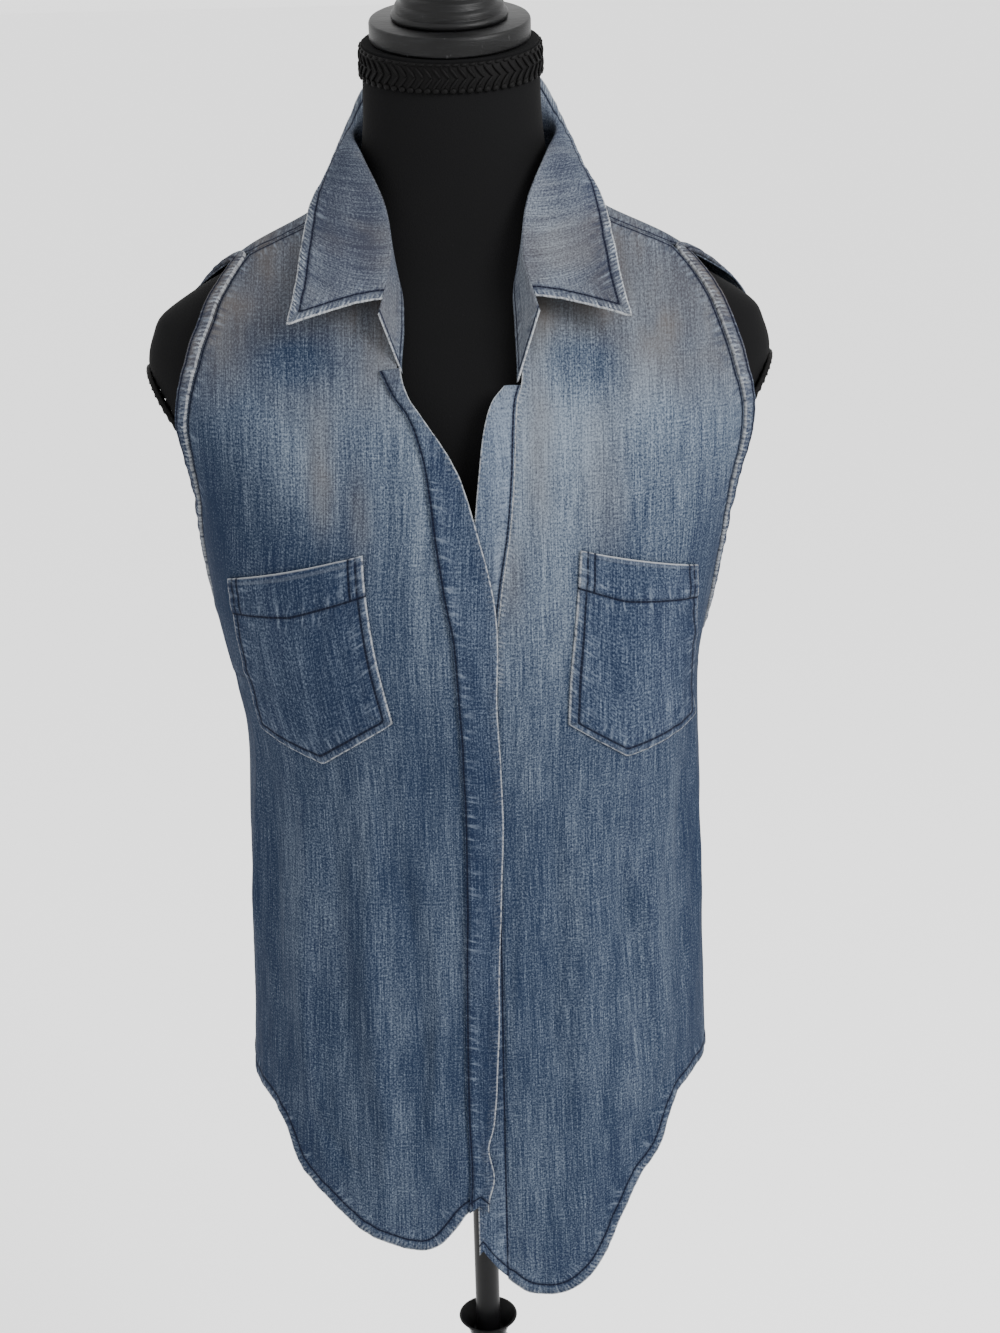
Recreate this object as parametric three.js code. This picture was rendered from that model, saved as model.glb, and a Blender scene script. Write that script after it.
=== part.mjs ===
// Sleeveless denim shirt on a limbless dress form. Millimetres, +Z up, +X the wearer's left,
// the back of the shirt towards +Y, origin on the floor under the pole.
import * as THREE from 'three';

// Driving dimensions
const CLOTH = 1.2;           // wall of a single layer of cloth
const GAP = 0.3;             // clearance between neighbouring pieces
const BAND_LIFT = CLOTH + GAP + 0.1;
const CROSS_Z = 1010;        // level where the side seams end and the armhole rows begin
const POLE_R = 9.5;
const BASE_R = 190;
const BASE_H = 24;
const HUB_TOP = 430;
const CAP_R = 51.7;
const CAP_T = 13;
const CAP_Z = 1414.5;        // middle of the cap's upper face
const TILT = 0.227;          // forward slope of the neck's cut top and the cap
const PLATE_SLOPE = 0.66;    // inward slope of the arm plates below the shoulder ends
const PLATE_X = 200;         // arm plate's half-distance at PLATE_Z
const PLATE_Z = 1190;

// Shirt sections: z, half-width, depth to the front, depth to the back, roundness, sideways shift
const SHIRT = [
  [530, 175, 147, 133, 2.2, 0],
  [600, 171, 143, 129, 2.2, 0],
  [660, 168, 140, 126, 2.2, 0],
  [730, 165.5, 137, 122, 2.2, 1],
  [800, 163.5, 134, 117, 2.2, 1],
  [880, 160, 131, 112, 2.2, 2],
  [940, 158, 132, 108, 2.25, 2],
  [985, 161, 136, 106, 2.3, -1],
  [1030, 169, 138, 105, 2.3, -2],
  [1080, 177, 136, 104, 2.3, 0],
  [1120, 184, 129, 103, 2.3, 3],
  [1150, 196, 120, 102, 2.3, 4],
  [1175, 208, 109, 100, 2.3, 4],
  [1200, 214, 95, 97, 2.3, 4],
  [1219, 211, 84, 91, 2.25, 4],
  [1238, 191, 73, 83, 2.2, 4],
  [1258, 161, 62, 75, 2.1, 3],
  [1275, 136, 56, 69, 2.0, 2],
  [1293, 99, 51, 63, 2.0, 1],
  [1304, 83, 50, 61, 2.0, 1],
  [1316, 76, 51, 59, 2.0, 1],
];

// Form sections: z, half-width, depth to the front, depth to the back, roundness, forward tilt
const FORM = [
  [650, 126, 88, 86, 2.2, 0],
  [651, 134, 95, 93, 2.2, 0],
  [656, 141, 101, 99, 2.2, 0],
  [668, 145, 104, 102, 2.2, 0],
  [700, 149, 107, 105, 2.2, 0],
  [750, 151, 109, 106, 2.2, 0],
  [810, 143, 101, 98, 2.2, 0],
  [870, 128, 90, 86, 2.2, 0],
  [930, 118, 87, 80, 2.2, 0],
  [980, 121, 96, 82, 2.2, 0],
  [1030, 131, 114, 87, 2.2, 0],
  [1075, 138, 124, 92, 2.2, 0],
  [1104, 142, 119, 93, 2.2, 0],
  [1114, 149.6, 116, 93, 2.2, 0],
  [1125, 163, 112, 93, 2.2, 0],
  [1143, 184, 106, 92, 2.25, 0],
  [1165, 201, 98, 91, 2.3, 0],
  [1190, 206.5, 87, 87, 2.3, 0],
  [1205, 207, 79, 84, 2.3, 0],
  [1219, 203, 72, 79, 2.25, 0],
  [1230, 197.5, 68, 76, 2.2, 0],
  [1242, 181.2, 62, 72, 2.2, 0],
  [1258, 154.5, 54, 67, 2.1, 0],
  [1272, 133, 50, 63, 2.0, 0],
  [1286, 105.9, 47.5, 59.2, 2.0, 0],
  [1296, 85.5, 46.5, 55.2, 2.0, 0],
  [1308, 70.4, 46, 52.7, 2.0, 0],
  [1324, 62, 46, 50, 2.0, 0.02],
  [1350, 58, 47, 48, 2.0, 0.1],
  [1378, 57, 48, 48, 2.0, 0.2],
  [1401, 56.5, 48, 48, 2.0, TILT],
];

// Large hanging folds: angle at the hem, angle at the top, z of the top, spread, height
const FOLDS = [
  [-29, -33, 935, 9, 3.4],
  [-52, -48, 930, 9, 3.2],
  [-74, -70, 940, 9, 3],
  [29, 33, 930, 9, 2.8],
  [50, 47, 930, 9, 3.2],
  [72, 67, 940, 9, 3.6],
  [105, 108, 960, 10, 3.2],
  [130, 138, 1010, 11, 3.8],
  [158, 162, 1060, 11, 3.2],
  [-107, -110, 970, 10, 3.4],
  [-133, -140, 1030, 11, 3.4],
  [-160, -158, 1080, 11, 3.8],
];

// Hems: angle from the middle of the front, height
const HEM_RIGHT = [
  [0, 629], [-4, 622], [-8, 608], [-12, 597], [-17, 593], [-25, 597], [-34, 606], [-43, 622],
  [-52, 641], [-58, 665], [-66, 679], [-78, 682], [-90, 684],
];
const HEM_LEFT = [
  [0, 592], [4, 577], [9, 564], [14, 556.5], [21, 555], [27, 562], [33, 579], [39, 607],
  [45, 632], [52, 651], [58, 678], [66, 687], [78, 687], [90, 684],
];
const HEM_BACK = [
  [90, 684], [97, 680], [106, 664], [116, 630], [128, 590], [142, 562], [160, 549], [180, 545],
];

// Front panel rows above the side seam: inner z and x, outer angle and z
const FRONT_RIGHT = [
  [1010, -0.5, 90, 1010],
  [1040, -2.5, 87, 1026],
  [1075, -8, 83, 1060],
  [1110, -13, 78.5, 1098],
  [1145, -17, 74.5, 1128],
  [1172, -24, 71.8, 1156],
  [1192, -33, 70.3, 1184],
  [1207, -38, 70.5, 1208],
  [1233, -36.3, 73.2, 1231],
  [1256, -37.5, 77.5, 1249],
  [1284, -48, 81, 1262],
  [1306.5, -70, 83, 1271],
];
const FRONT_LEFT = [
  [1010, 19, 90, 1000],
  [1040, 20, 86, 1014],
  [1075, 24, 81, 1036],
  [1110, 30, 76.5, 1070],
  [1145, 33.5, 73.5, 1106],
  [1172, 35, 71.8, 1140],
  [1188, 36.5, 70.4, 1172],
  [1200, 40, 70, 1200],
  [1233, 39.5, 72.1, 1224],
  [1256, 39.5, 76.5, 1245],
  [1284, 49, 80.5, 1259],
  [1306.5, 72, 83, 1270],
];
// Back panel rows above the side seam: height at the middle, outer angle and z (wearer's right, left)
const BACK = [
  [1010, 90, 1010, 90, 1000],
  [1040, 93.5, 1024, 94, 1014],
  [1080, 98.5, 1050, 99, 1040],
  [1120, 102.5, 1084, 103, 1076],
  [1160, 105, 1122, 105.5, 1116],
  [1195, 106, 1160, 106.5, 1156],
  [1225, 106, 1196, 106, 1194],
  [1250, 104, 1226, 104, 1223],
  [1270, 99, 1250, 99, 1247],
  [1288, 91, 1265.5, 91, 1263.5],
  [1301, 85.5, 1270.7, 85.5, 1269.7],
  [1308, 83.4, 1271, 83.4, 1270],
];

// Concealed placket: z, seam x, free edge x (wearer's right, on top)
const BAND_RIGHT = [
  [606, -8.5, 7],
  [629, -8.2, 4.6],
  [652, -7, 8.6],
  [675, -7.4, 6],
  [693, -7.8, 10.5],
  [748, -7.2, 14.6],
  [785, -6.5, 16.6],
  [858, -4.4, 19],
  [930, -3.6, 21],
  [1003, -6, 20.8],
  [1043, -8, 20.5],
  [1069, -12.5, 18.6],
  [1104, -17, 11.4],
  [1133, -20, 4],
  [1154, -23.5, -5],
  [1177, -31, -21],
  [1192, -42, -32],
  [1206, -49, -35.5],
];
// Under placket: z, free edge x, seam x (wearer's left, below)
const BAND_LEFT = [
  [592, -2.5, 16.5],
  [629, -2.3, 17],
  [652, -1.1, 17.4],
  [675, -1.5, 17.7],
  [693, -1.9, 18],
  [748, -1.3, 18.5],
  [785, -0.6, 18.7],
  [858, 1.5, 19],
  [930, 2.3, 18.8],
  [1003, 0.3, 18.6],
  [1040, 0.8, 19.6],
  [1075, 4.5, 23.6],
  [1110, 7.5, 29.6],
  [1145, 11.5, 33.1],
  [1172, 15.5, 34.6],
  [1188, 21, 35.6],
  [1196.5, 29, 40.5],
];

// Pockets: corners as x and z (outer top, inner top, inner bottom, outer bottom), point
const POCKET_RIGHT = [[-152, 1071], [-62, 1098], [-47.7, 987], [-138, 966], [-94.8, 952]];
const POCKET_LEFT = [[151, 1073], [73.3, 1097.6], [65, 981.7], [153, 956], [103, 951]];
const POCKET_HEM = 24;

// Collar stations from the front end to the middle of the back:
// roll line x y z, outer edge x y z, rise of the leaf between them
const COLLAR = [
  [-48, -91, 1242, -105, -97, 1238, 2],
  [-43.5, -81, 1258, -101, -74, 1256, 3],
  [-39.5, -67, 1276, -98, -50, 1276, 6],
  [-44, -50, 1305, -93, -21, 1301, 9],
  [-58, -28, 1333, -82.5, 5, 1321, 8.5],
  [-65, 18, 1341, -71, 43, 1347, 4],
  [-50, 44, 1343, -57, 66, 1373, 2],
  [-26, 57, 1343, -33, 80, 1386, 0],
  [0, 62, 1343, 0, 85, 1390, 0],
];
const LEAF_START = 0.035;    // share of the collar's length left bare at each end of the stand
const NECK_ANGLE = 71.2;     // angle of the shoulder seams' neck ends
const SEAM_ANGLE = 83;       // angle of their armhole ends
const NECK_Z = 1306.5;
const BACK_Z = 1308;         // height of the back neckline
const NECK_SHARE = 0.56;     // share of the back's upper edge that is neckline
const COLLAR_SHIFT = 4;      // the wearer's left half of the collar sits this much further out

// Sampling
const RAD = Math.PI / 180;

function hermite(rows, key, col, keyCol = 0) {
  const n = rows.length;
  const k = (i) => rows[i][keyCol];
  const v = (i) => rows[i][col];
  const up = k(n - 1) > k(0) ? 1 : -1;
  if ((key - k(0)) * up <= 0) return v(0) + ((key - k(0)) * (v(1) - v(0))) / (k(1) - k(0));
  if ((key - k(n - 1)) * up >= 0) {
    return v(n - 1) + ((key - k(n - 1)) * (v(n - 1) - v(n - 2))) / (k(n - 1) - k(n - 2));
  }
  let i = 0;
  while ((key - k(i + 1)) * up > 0) i += 1;
  const slope = (j) => {
    if (j === 0) return (v(1) - v(0)) / (k(1) - k(0));
    if (j === n - 1) return (v(n - 1) - v(n - 2)) / (k(n - 1) - k(n - 2));
    return (v(j + 1) - v(j - 1)) / (k(j + 1) - k(j - 1));
  };
  const h = k(i + 1) - k(i);
  const t = (key - k(i)) / h;
  const a = slope(i) * h;
  const b = slope(i + 1) * h;
  return (2 * t ** 3 - 3 * t ** 2 + 1) * v(i) + (t ** 3 - 2 * t ** 2 + t) * a
    + (-2 * t ** 3 + 3 * t ** 2) * v(i + 1) + (t ** 3 - t ** 2) * b;
}

function rowAt(rows, t, col) {
  const x = Math.min(Math.max(t, 0), 1) * (rows.length - 1);
  const i = Math.min(Math.floor(x), rows.length - 2);
  const f = x - i;
  const p = (j) => rows[Math.min(Math.max(j, 0), rows.length - 1)][col];
  const a = (p(i + 1) - p(i - 1)) / (i === 0 ? 1 : 2);
  const b = (p(i + 2) - p(i)) / (i === rows.length - 2 ? 1 : 2);
  return (2 * f ** 3 - 3 * f ** 2 + 1) * p(i) + (f ** 3 - 2 * f ** 2 + f) * a
    + (-2 * f ** 3 + 3 * f ** 2) * p(i + 1) + (f ** 3 - f ** 2) * b;
}

// Cloth surface: angle in degrees from the middle of the front (wearer's left positive), height
function surface(angle, z) {
  const [half, front, back, power, shift] = [1, 2, 3, 4, 5].map((c) => hermite(SHIRT, z, c));
  const s = Math.sin(angle * RAD);
  const c = Math.cos(angle * RAD);
  const depth = c > 0 ? front : back;
  let r = ((Math.abs(s) / half) ** power + (Math.abs(c) / depth) ** power) ** (-1 / power);
  for (const [low, high, top, spread, height] of FOLDS) {
    if (z >= top) continue;
    const f = Math.min((top - z) / (top - 600), 1.15);
    let away = angle - (high + (low - high) * f);
    away -= 360 * Math.round(away / 360);
    r += height * f * f * Math.exp(-((away / spread) ** 2));
  }
  return [r * s + shift, -r * c, z];
}

function skin(angle, z, out) {
  const p = surface(angle, z);
  const a = surface(angle + 0.5, z);
  const b = surface(angle, z + 1);
  const u = [a[0] - p[0], a[1] - p[1], a[2] - p[2]];
  const v = [b[0] - p[0], b[1] - p[1], b[2] - p[2]];
  const n = cross(u, v);
  const l = Math.hypot(...n);
  return [p[0] + (n[0] / l) * out, p[1] + (n[1] / l) * out, p[2] + (n[2] / l) * out];
}

function cross(a, b) {
  return [a[1] * b[2] - a[2] * b[1], a[2] * b[0] - a[0] * b[2], a[0] * b[1] - a[1] * b[0]];
}

function angleAt(x, z) {
  const [half, front, , power, shift] = [1, 2, 3, 4, 5].map((c) => hermite(SHIRT, z, c));
  const k = Math.min(Math.abs(x - shift) / half, 0.9999);
  const y = front * (1 - k ** power) ** (1 / power);
  return Math.atan2(x - shift, y) / RAD;
}

// A closed wall between two grids of points, rows from low to high; 'round' joins last column to first
function wall(inner, outer, round = false) {
  const rows = inner.length;
  const cols = inner[0].length;
  const pos = [];
  for (const grid of [inner, outer]) for (const row of grid) for (const p of row) pos.push(...p);
  const id = (side, r, c) => side * rows * cols + r * cols + (c % cols);
  const tri = [];
  const quad = (a, b, c, d) => tri.push(a, b, c, a, c, d);
  const lastC = round ? cols : cols - 1;
  for (let r = 0; r < rows - 1; r += 1) {
    for (let c = 0; c < lastC; c += 1) {
      quad(id(1, r, c), id(1, r, c + 1), id(1, r + 1, c + 1), id(1, r + 1, c));
      quad(id(0, r, c), id(0, r + 1, c), id(0, r + 1, c + 1), id(0, r, c + 1));
    }
  }
  for (let c = 0; c < lastC; c += 1) {
    quad(id(0, 0, c), id(0, 0, c + 1), id(1, 0, c + 1), id(1, 0, c));
    quad(id(0, rows - 1, c), id(1, rows - 1, c), id(1, rows - 1, c + 1), id(0, rows - 1, c + 1));
  }
  if (!round) {
    for (let r = 0; r < rows - 1; r += 1) {
      quad(id(0, r, 0), id(1, r, 0), id(1, r + 1, 0), id(0, r + 1, 0));
      quad(id(0, r, cols - 1), id(0, r + 1, cols - 1), id(1, r + 1, cols - 1), id(1, r, cols - 1));
    }
  }
  return solid(pos, tri);
}

function solid(pos, tri) {
  let volume = 0;
  const p = (i) => [pos[3 * i], pos[3 * i + 1], pos[3 * i + 2]];
  for (let i = 0; i < tri.length; i += 3) {
    const [a, b, c] = [p(tri[i]), p(tri[i + 1]), p(tri[i + 2])];
    const n = cross(b, c);
    volume += a[0] * n[0] + a[1] * n[1] + a[2] * n[2];
  }
  if (volume < 0) {
    for (let i = 0; i < tri.length; i += 3) [tri[i + 1], tri[i + 2]] = [tri[i + 2], tri[i + 1]];
  }
  const geometry = new THREE.BufferGeometry();
  geometry.setAttribute('position', new THREE.Float32BufferAttribute(pos, 3));
  geometry.setIndex(tri);
  return geometry;
}

function sheet(rows, cols, at, low, high, round = false) {
  const grid = (out) => Array.from({ length: rows + 1 }, (_, r) => (
    Array.from({ length: round ? cols : cols + 1 }, (__, c) => at(c / cols, r / rows, out))));
  return wall(grid(low), grid(high), round);
}

const spread = (values, parts) => {
  const out = [values[0]];
  for (let i = 1; i < values.length; i += 1) {
    for (let k = 1; k <= parts[i - 1]; k += 1) {
      out.push(values[i - 1] + ((values[i] - values[i - 1]) * k) / parts[i - 1]);
    }
  }
  return out;
};

function hemAt(table, angle) {
  return hermite(table, angle, 1);
}

// Front panels
function frontPoint(side, s, t, out) {
  const rows = side < 0 ? FRONT_RIGHT : FRONT_LEFT;
  const hem = side < 0 ? HEM_RIGHT : HEM_LEFT;
  const band = side < 0 ? BAND_RIGHT : BAND_LEFT;
  if (t <= 0) {
    const f = 1 + t;
    const zMid = 600 + (rows[0][0] - 600) * f;
    const xIn = side < 0 ? hermite(band, zMid, 1) + 5.2 : hermite(band, zMid, 2) + GAP + 0.1;
    const aIn = angleAt(xIn, zMid);
    const angle = aIn + (side * 90 - aIn) * s;
    const low = hemAt(hem, angle);
    const high = rows[0][0] + (rows[0][3] - rows[0][0]) * s;
    return skin(angle - side * seamTrim(s), low + (high - low) * f, out);
  }
  const zIn = rowAt(rows, t, 0);
  const xIn = hermite(rows, zIn, 1);
  const aOut = side * rowAt(rows, t, 2);
  const zOut = rowAt(rows, t, 3);
  const aIn = angleAt(xIn, zIn);
  return skin(aIn + (aOut - aIn) * s - side * seamTrim(s), zIn + (zOut - zIn) * s, out);
}
const seamTrim = (s) => (s > 0.999 ? 0.055 : 0);

function gridSheet(us, vs, at, low, high) {
  const grid = (out) => vs.map((v) => us.map((u) => at(u, v, out)));
  return wall(grid(low), grid(high));
}

const ACROSS_FRONT = spread([0, 0.3, 0.85, 1], [3, 8, 3]);
const UP_FRONT = spread([-1, 0, 1], [9, 17]);
const frontRight = gridSheet(ACROSS_FRONT, UP_FRONT, (s, t, o) => frontPoint(-1, s, t, o), 0, CLOTH);
const frontLeft = gridSheet(ACROSS_FRONT, UP_FRONT, (s, t, o) => frontPoint(1, s, t, o), 0, CLOTH);

// Back panel, one piece from armhole to armhole, reaching over the shoulders
function backPoint(s, t, out) {
  const side = s < 0.5 ? 1 : -1;
  const k = Math.abs(s - 0.5) * 2;
  const cols = side > 0 ? [3, 4] : [1, 2];
  if (t <= 0) {
    const f = 1 + t;
    const angle = 180 - 90 * k;
    const low = hemAt(HEM_BACK, angle);
    const high = BACK[0][0] + (BACK[0][cols[1]] - BACK[0][0]) * k;
    const trim = k > 0.999 ? 0.055 : 0;
    return skin(side * (angle + trim), low + (high - low) * f, out);
  }
  const zMid = rowAt(BACK, t, 0);
  const aOut = rowAt(BACK, t, cols[0]);
  const zOut = rowAt(BACK, t, cols[1]);
  const b = Math.min(Math.max((t - 0.5) / 0.5, 0), 1) ** 1.5;
  const onNeck = k < NECK_SHARE;
  const f = onNeck ? k / NECK_SHARE : (k - NECK_SHARE) / (1 - NECK_SHARE);
  const aTop = onNeck ? 180 + (NECK_ANGLE - 180) * f : NECK_ANGLE + (SEAM_ANGLE - NECK_ANGLE) * f;
  const zTop = onNeck ? BACK_Z + (NECK_Z - BACK_Z) * f : NECK_Z + (zOut - NECK_Z) * f;
  const angle = (180 + (aOut - 180) * k) * (1 - b) + (aTop + 0.45) * b;
  const z = (zMid + (zOut - zMid) * k) * (1 - b) + zTop * b;
  return skin(side * Math.min(angle, 180), z, out);
}
const SHOULDER_SHARES = ACROSS_FRONT.slice(1).map((s) => NECK_SHARE + (1 - NECK_SHARE) * s);
const HALF_BACK = [...spread([0, NECK_SHARE], [5]), ...SHOULDER_SHARES];
const ACROSS_BACK = [
  ...HALF_BACK.slice(1).reverse().map((k) => 0.5 - k / 2),
  ...HALF_BACK.map((k) => 0.5 + k / 2),
];
const UP_BACK = spread([-1, 0, 1], [8, 16]);
const back = gridSheet(ACROSS_BACK, UP_BACK, backPoint, 0, CLOTH);

// Plackets
function bandPoint(rows, hem, u, t, out, turn) {
  const top = rows[rows.length - 1][0];
  const x0 = hermite(rows, 600, 1);
  const x1 = hermite(rows, 600, 2);
  const low = hemAt(hem, angleAt(x0 + (x1 - x0) * u, 600));
  const z = low + (top - low) * t;
  const a = hermite(rows, z, 1);
  const b = rows === BAND_LEFT && z > CROSS_Z ? hermite(FRONT_LEFT, z, 1) - GAP - 0.5 : hermite(rows, z, 2);
  const lift = turn * u * Math.max((z - 1120) / 90, 0) ** 1.5;
  return skin(angleAt(a + (b - a) * u, z), z, out + lift);
}
const BAND_ROWS = spread([0, 0.2, 0.75, 1], [6, 9, 9]);
const bandRight = gridSheet([0, 0.5, 1], BAND_ROWS,
  (u, t, o) => bandPoint(BAND_RIGHT, HEM_RIGHT, u, t, o, 5), BAND_LIFT + 0.1, BAND_LIFT + 0.1 + CLOTH);
const bandLeft = gridSheet([0, 0.5, 1], BAND_ROWS,
  (u, t, o) => bandPoint(BAND_LEFT, HEM_LEFT, u, t, o, 0), 0, CLOTH);

// Pockets, with the turned top hem a little thicker
function pocket(shape) {
  const [a, b, c, d, tip] = shape;
  const w = (angleAt(...tip) - angleAt(...d)) / (angleAt(...c) - angleAt(...d));
  const mid = (s) => (s < w ? s / w : (1 - s) / (1 - w));
  const drop = tip[1] - (d[1] + (c[1] - d[1]) * w);
  const [aa, ab, ac, ad] = [a, b, c, d].map(([x, z]) => angleAt(x, z));
  const place = (s, t, out) => {
    const angle = (ad + (ac - ad) * s) * (1 - t) + (aa + (ab - aa) * s) * t;
    const low = d[1] + (c[1] - d[1]) * s + drop * mid(s);
    const top = a[1] + (b[1] - a[1]) * s;
    return skin(angle, low + (top - low) * t, out);
  };
  const step = 1 - POCKET_HEM / Math.hypot(a[0] - d[0], a[1] - d[1]);
  const us = spread([0, w, 1], [7, 6]);
  const vs = spread([0, step, step + 0.012, 1], [6, 1, 2]);
  const inner = vs.map((v) => us.map((u) => place(u, v, BAND_LIFT + 0.4)));
  const lift = (v) => BAND_LIFT + (v > step + 0.001 ? 2.2 : CLOTH + 0.4);
  const outer = vs.map((v) => us.map((u) => place(u, v, lift(v))));
  return wall(inner, outer);
}

// Armhole bands lie on the fronts and the back all round each armhole
function armholeBand(side) {
  const front = side < 0 ? FRONT_RIGHT : FRONT_LEFT;
  const cols = side > 0 ? [3, 4] : [1, 2];
  const edge = [];
  for (let i = 0; i <= 20; i += 1) edge.push([rowAt(front, i / 20, 2), rowAt(front, i / 20, 3)]);
  for (let i = 19; i >= 1; i -= 1) edge.push([rowAt(BACK, i / 20, cols[0]), rowAt(BACK, i / 20, cols[1])]);
  const n = edge.length;
  const point = (i, inset, out) => {
    const [p, q, r] = [edge[(i + n - 1) % n], edge[i % n], edge[(i + 1) % n]]
      .map(([angle, z]) => surface(side * angle, z));
    const along = [r[0] - p[0], r[1] - p[1], r[2] - p[2]];
    const a = surface(side * edge[i % n][0] + 0.5, edge[i % n][1]);
    const b = surface(side * edge[i % n][0], edge[i % n][1] + 1);
    const normal = cross([a[0] - q[0], a[1] - q[1], a[2] - q[2]], [b[0] - q[0], b[1] - q[1], b[2] - q[2]]);
    const nl = Math.hypot(...normal);
    const into = cross(normal, along);
    const il = Math.hypot(...into) * -side;
    return q.map((v, k) => v + (into[k] / il) * inset + (normal[k] / nl) * out);
  };
  const ring = (inset, out) => Array.from({ length: n }, (_, i) => point(i, inset, out));
  return wall([ring(-0.8, BAND_LIFT + 0.45), ring(8, BAND_LIFT + 0.8)],
    [ring(-0.8, BAND_LIFT + 0.45 + CLOTH), ring(8, BAND_LIFT + 0.8 + CLOTH)], true);
}

// Collar: stand from neckline to roll line, leaf from roll line to outer edge
function collarCurve(t, col) {
  const u = Math.abs(t * 2 - 1);
  const side = t < 0.5 ? -1 : 1;
  const k = 1 - u;
  const p = [0, 1, 2].map((i) => rowAt(COLLAR, k, col + i));
  const share = u * (side > 0 ? COLLAR_SHIFT : 0);
  return [side < 0 ? p[0] : -p[0] + share, p[1], p[2]];
}
const [ROLL, EDGE] = [0, 3];
function neckEdge(u, out) {
  const k = 1 - Math.abs(u * 2 - 1);
  const side = u < 0.5 ? -1 : 1;
  if (k <= 0.5) return frontPoint(side, 0, (7 + 8 * k) / 11, out);
  return backPoint(0.5 - side * (1 - k) * NECK_SHARE, 1, out);
}
function neckPoint(u) {
  const p = neckEdge(u, 0);
  const a = neckEdge(Math.min(u + 0.01, 1), 0);
  const b = neckEdge(Math.max(u - 0.01, 0), 0);
  const o = neckEdge(u, 1);
  const into = cross(o.map((x, i) => x - p[i]), a.map((x, i) => x - b[i]));
  const sign = into[0] * -p[0] + into[1] * (-5 - p[1]) > 0 ? 1 : -1;
  const l = Math.hypot(...into) * sign;
  const away = Math.abs(u * 2 - 1) > 0.7 ? 2 : CLOTH / 2 + GAP + 0.8;
  return p.map((x, i) => x + (into[i] / l) * away);
}
function leafPoint(u, v) {
  const w = Math.min(Math.max((u - LEAF_START) / (1 - 2 * LEAF_START), 0), 1);
  const p = collarCurve(u, ROLL);
  const q = collarCurve(w, EDGE);
  const rise = rowAt(COLLAR, 1 - Math.abs(w * 2 - 1), 6);
  const m = p.map((x, i) => x + (q[i] - x) * v);
  const l = Math.hypot(m[0], m[1]);
  const b = 4 * v * (1 - v);
  return [m[0] - (m[0] / l) * b * 3, m[1] - (m[1] / l) * b * 3, m[2] + rise * b];
}
function foldGaps(u) {
  const [n, r, l] = [neckPoint(u), collarCurve(u, ROLL), leafPoint(u, 0.05)];
  const [p, q] = [collarCurve(Math.min(u + 0.01, 1), ROLL), collarCurve(Math.max(u - 0.01, 0), ROLL)];
  const unit = (a) => a.map((x) => x / Math.hypot(...a));
  const dot = (a, b) => a[0] * b[0] + a[1] * b[1] + a[2] * b[2];
  const along = unit(p.map((x, i) => x - q[i]));
  const square = (a) => a.map((x, i) => x - along[i] * dot(a, along));
  const a = square(unit(r.map((x, i) => x - n[i])));
  const b = square(unit(l.map((x, i) => x - r[i])));
  const k = Math.max(1 + dot(a, b) / (Math.hypot(...a) * Math.hypot(...b)), 0.15);
  const gap = (CLOTH / 2 + 0.65) * Math.sqrt((2 - k) / k) + 0.4 / Math.sqrt(k / 2);
  return [gap / Math.hypot(...a), gap / Math.hypot(...b)];
}
const lengthOf = (p, q) => Math.hypot(p[0] - q[0], p[1] - q[1], p[2] - q[2]);
function offsetGrid(us, vs, at, low, high) {
  const grid = (out) => vs.map((v) => us.map((u) => {
    const e = 0.004;
    const a = at(Math.min(u + e, 1), v);
    const b = at(Math.max(u - e, 0), v);
    const c = at(u, Math.min(v + e, 1));
    const d = at(u, Math.max(v - e, 0));
    const n = cross(a.map((x, i) => x - b[i]), c.map((x, i) => x - d[i]));
    const l = Math.hypot(...n);
    return at(u, v).map((x, i) => x + (n[i] / l) * out);
  }));
  return wall(grid(low), grid(high));
}
const ROUND = spread([0, 0.12, 0.88, 1], [4, 26, 4]);
const stand = offsetGrid(ROUND, [0, 0.5, 1], (u, v) => {
  const [low, roll] = [neckPoint(u), collarCurve(u, ROLL)];
  const l = lengthOf(low, roll);
  const f = 1.3 / l + (1 - (1.3 + foldGaps(u)[0]) / l) * v;
  return low.map((x, i) => x + (roll[i] - x) * f);
}, -CLOTH / 2, CLOTH / 2);
const leaf = offsetGrid(spread([LEAF_START, 0.15, 0.85, 1 - LEAF_START], [4, 26, 4]), spread([0, 1], [5]),
  (u, v) => {
    const f = foldGaps(u)[1] / lengthOf(leafPoint(u, 0), leafPoint(u, 1));
    return leafPoint(u, f + (1 - f) * v);
  }, -CLOTH / 2, CLOTH / 2);

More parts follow.
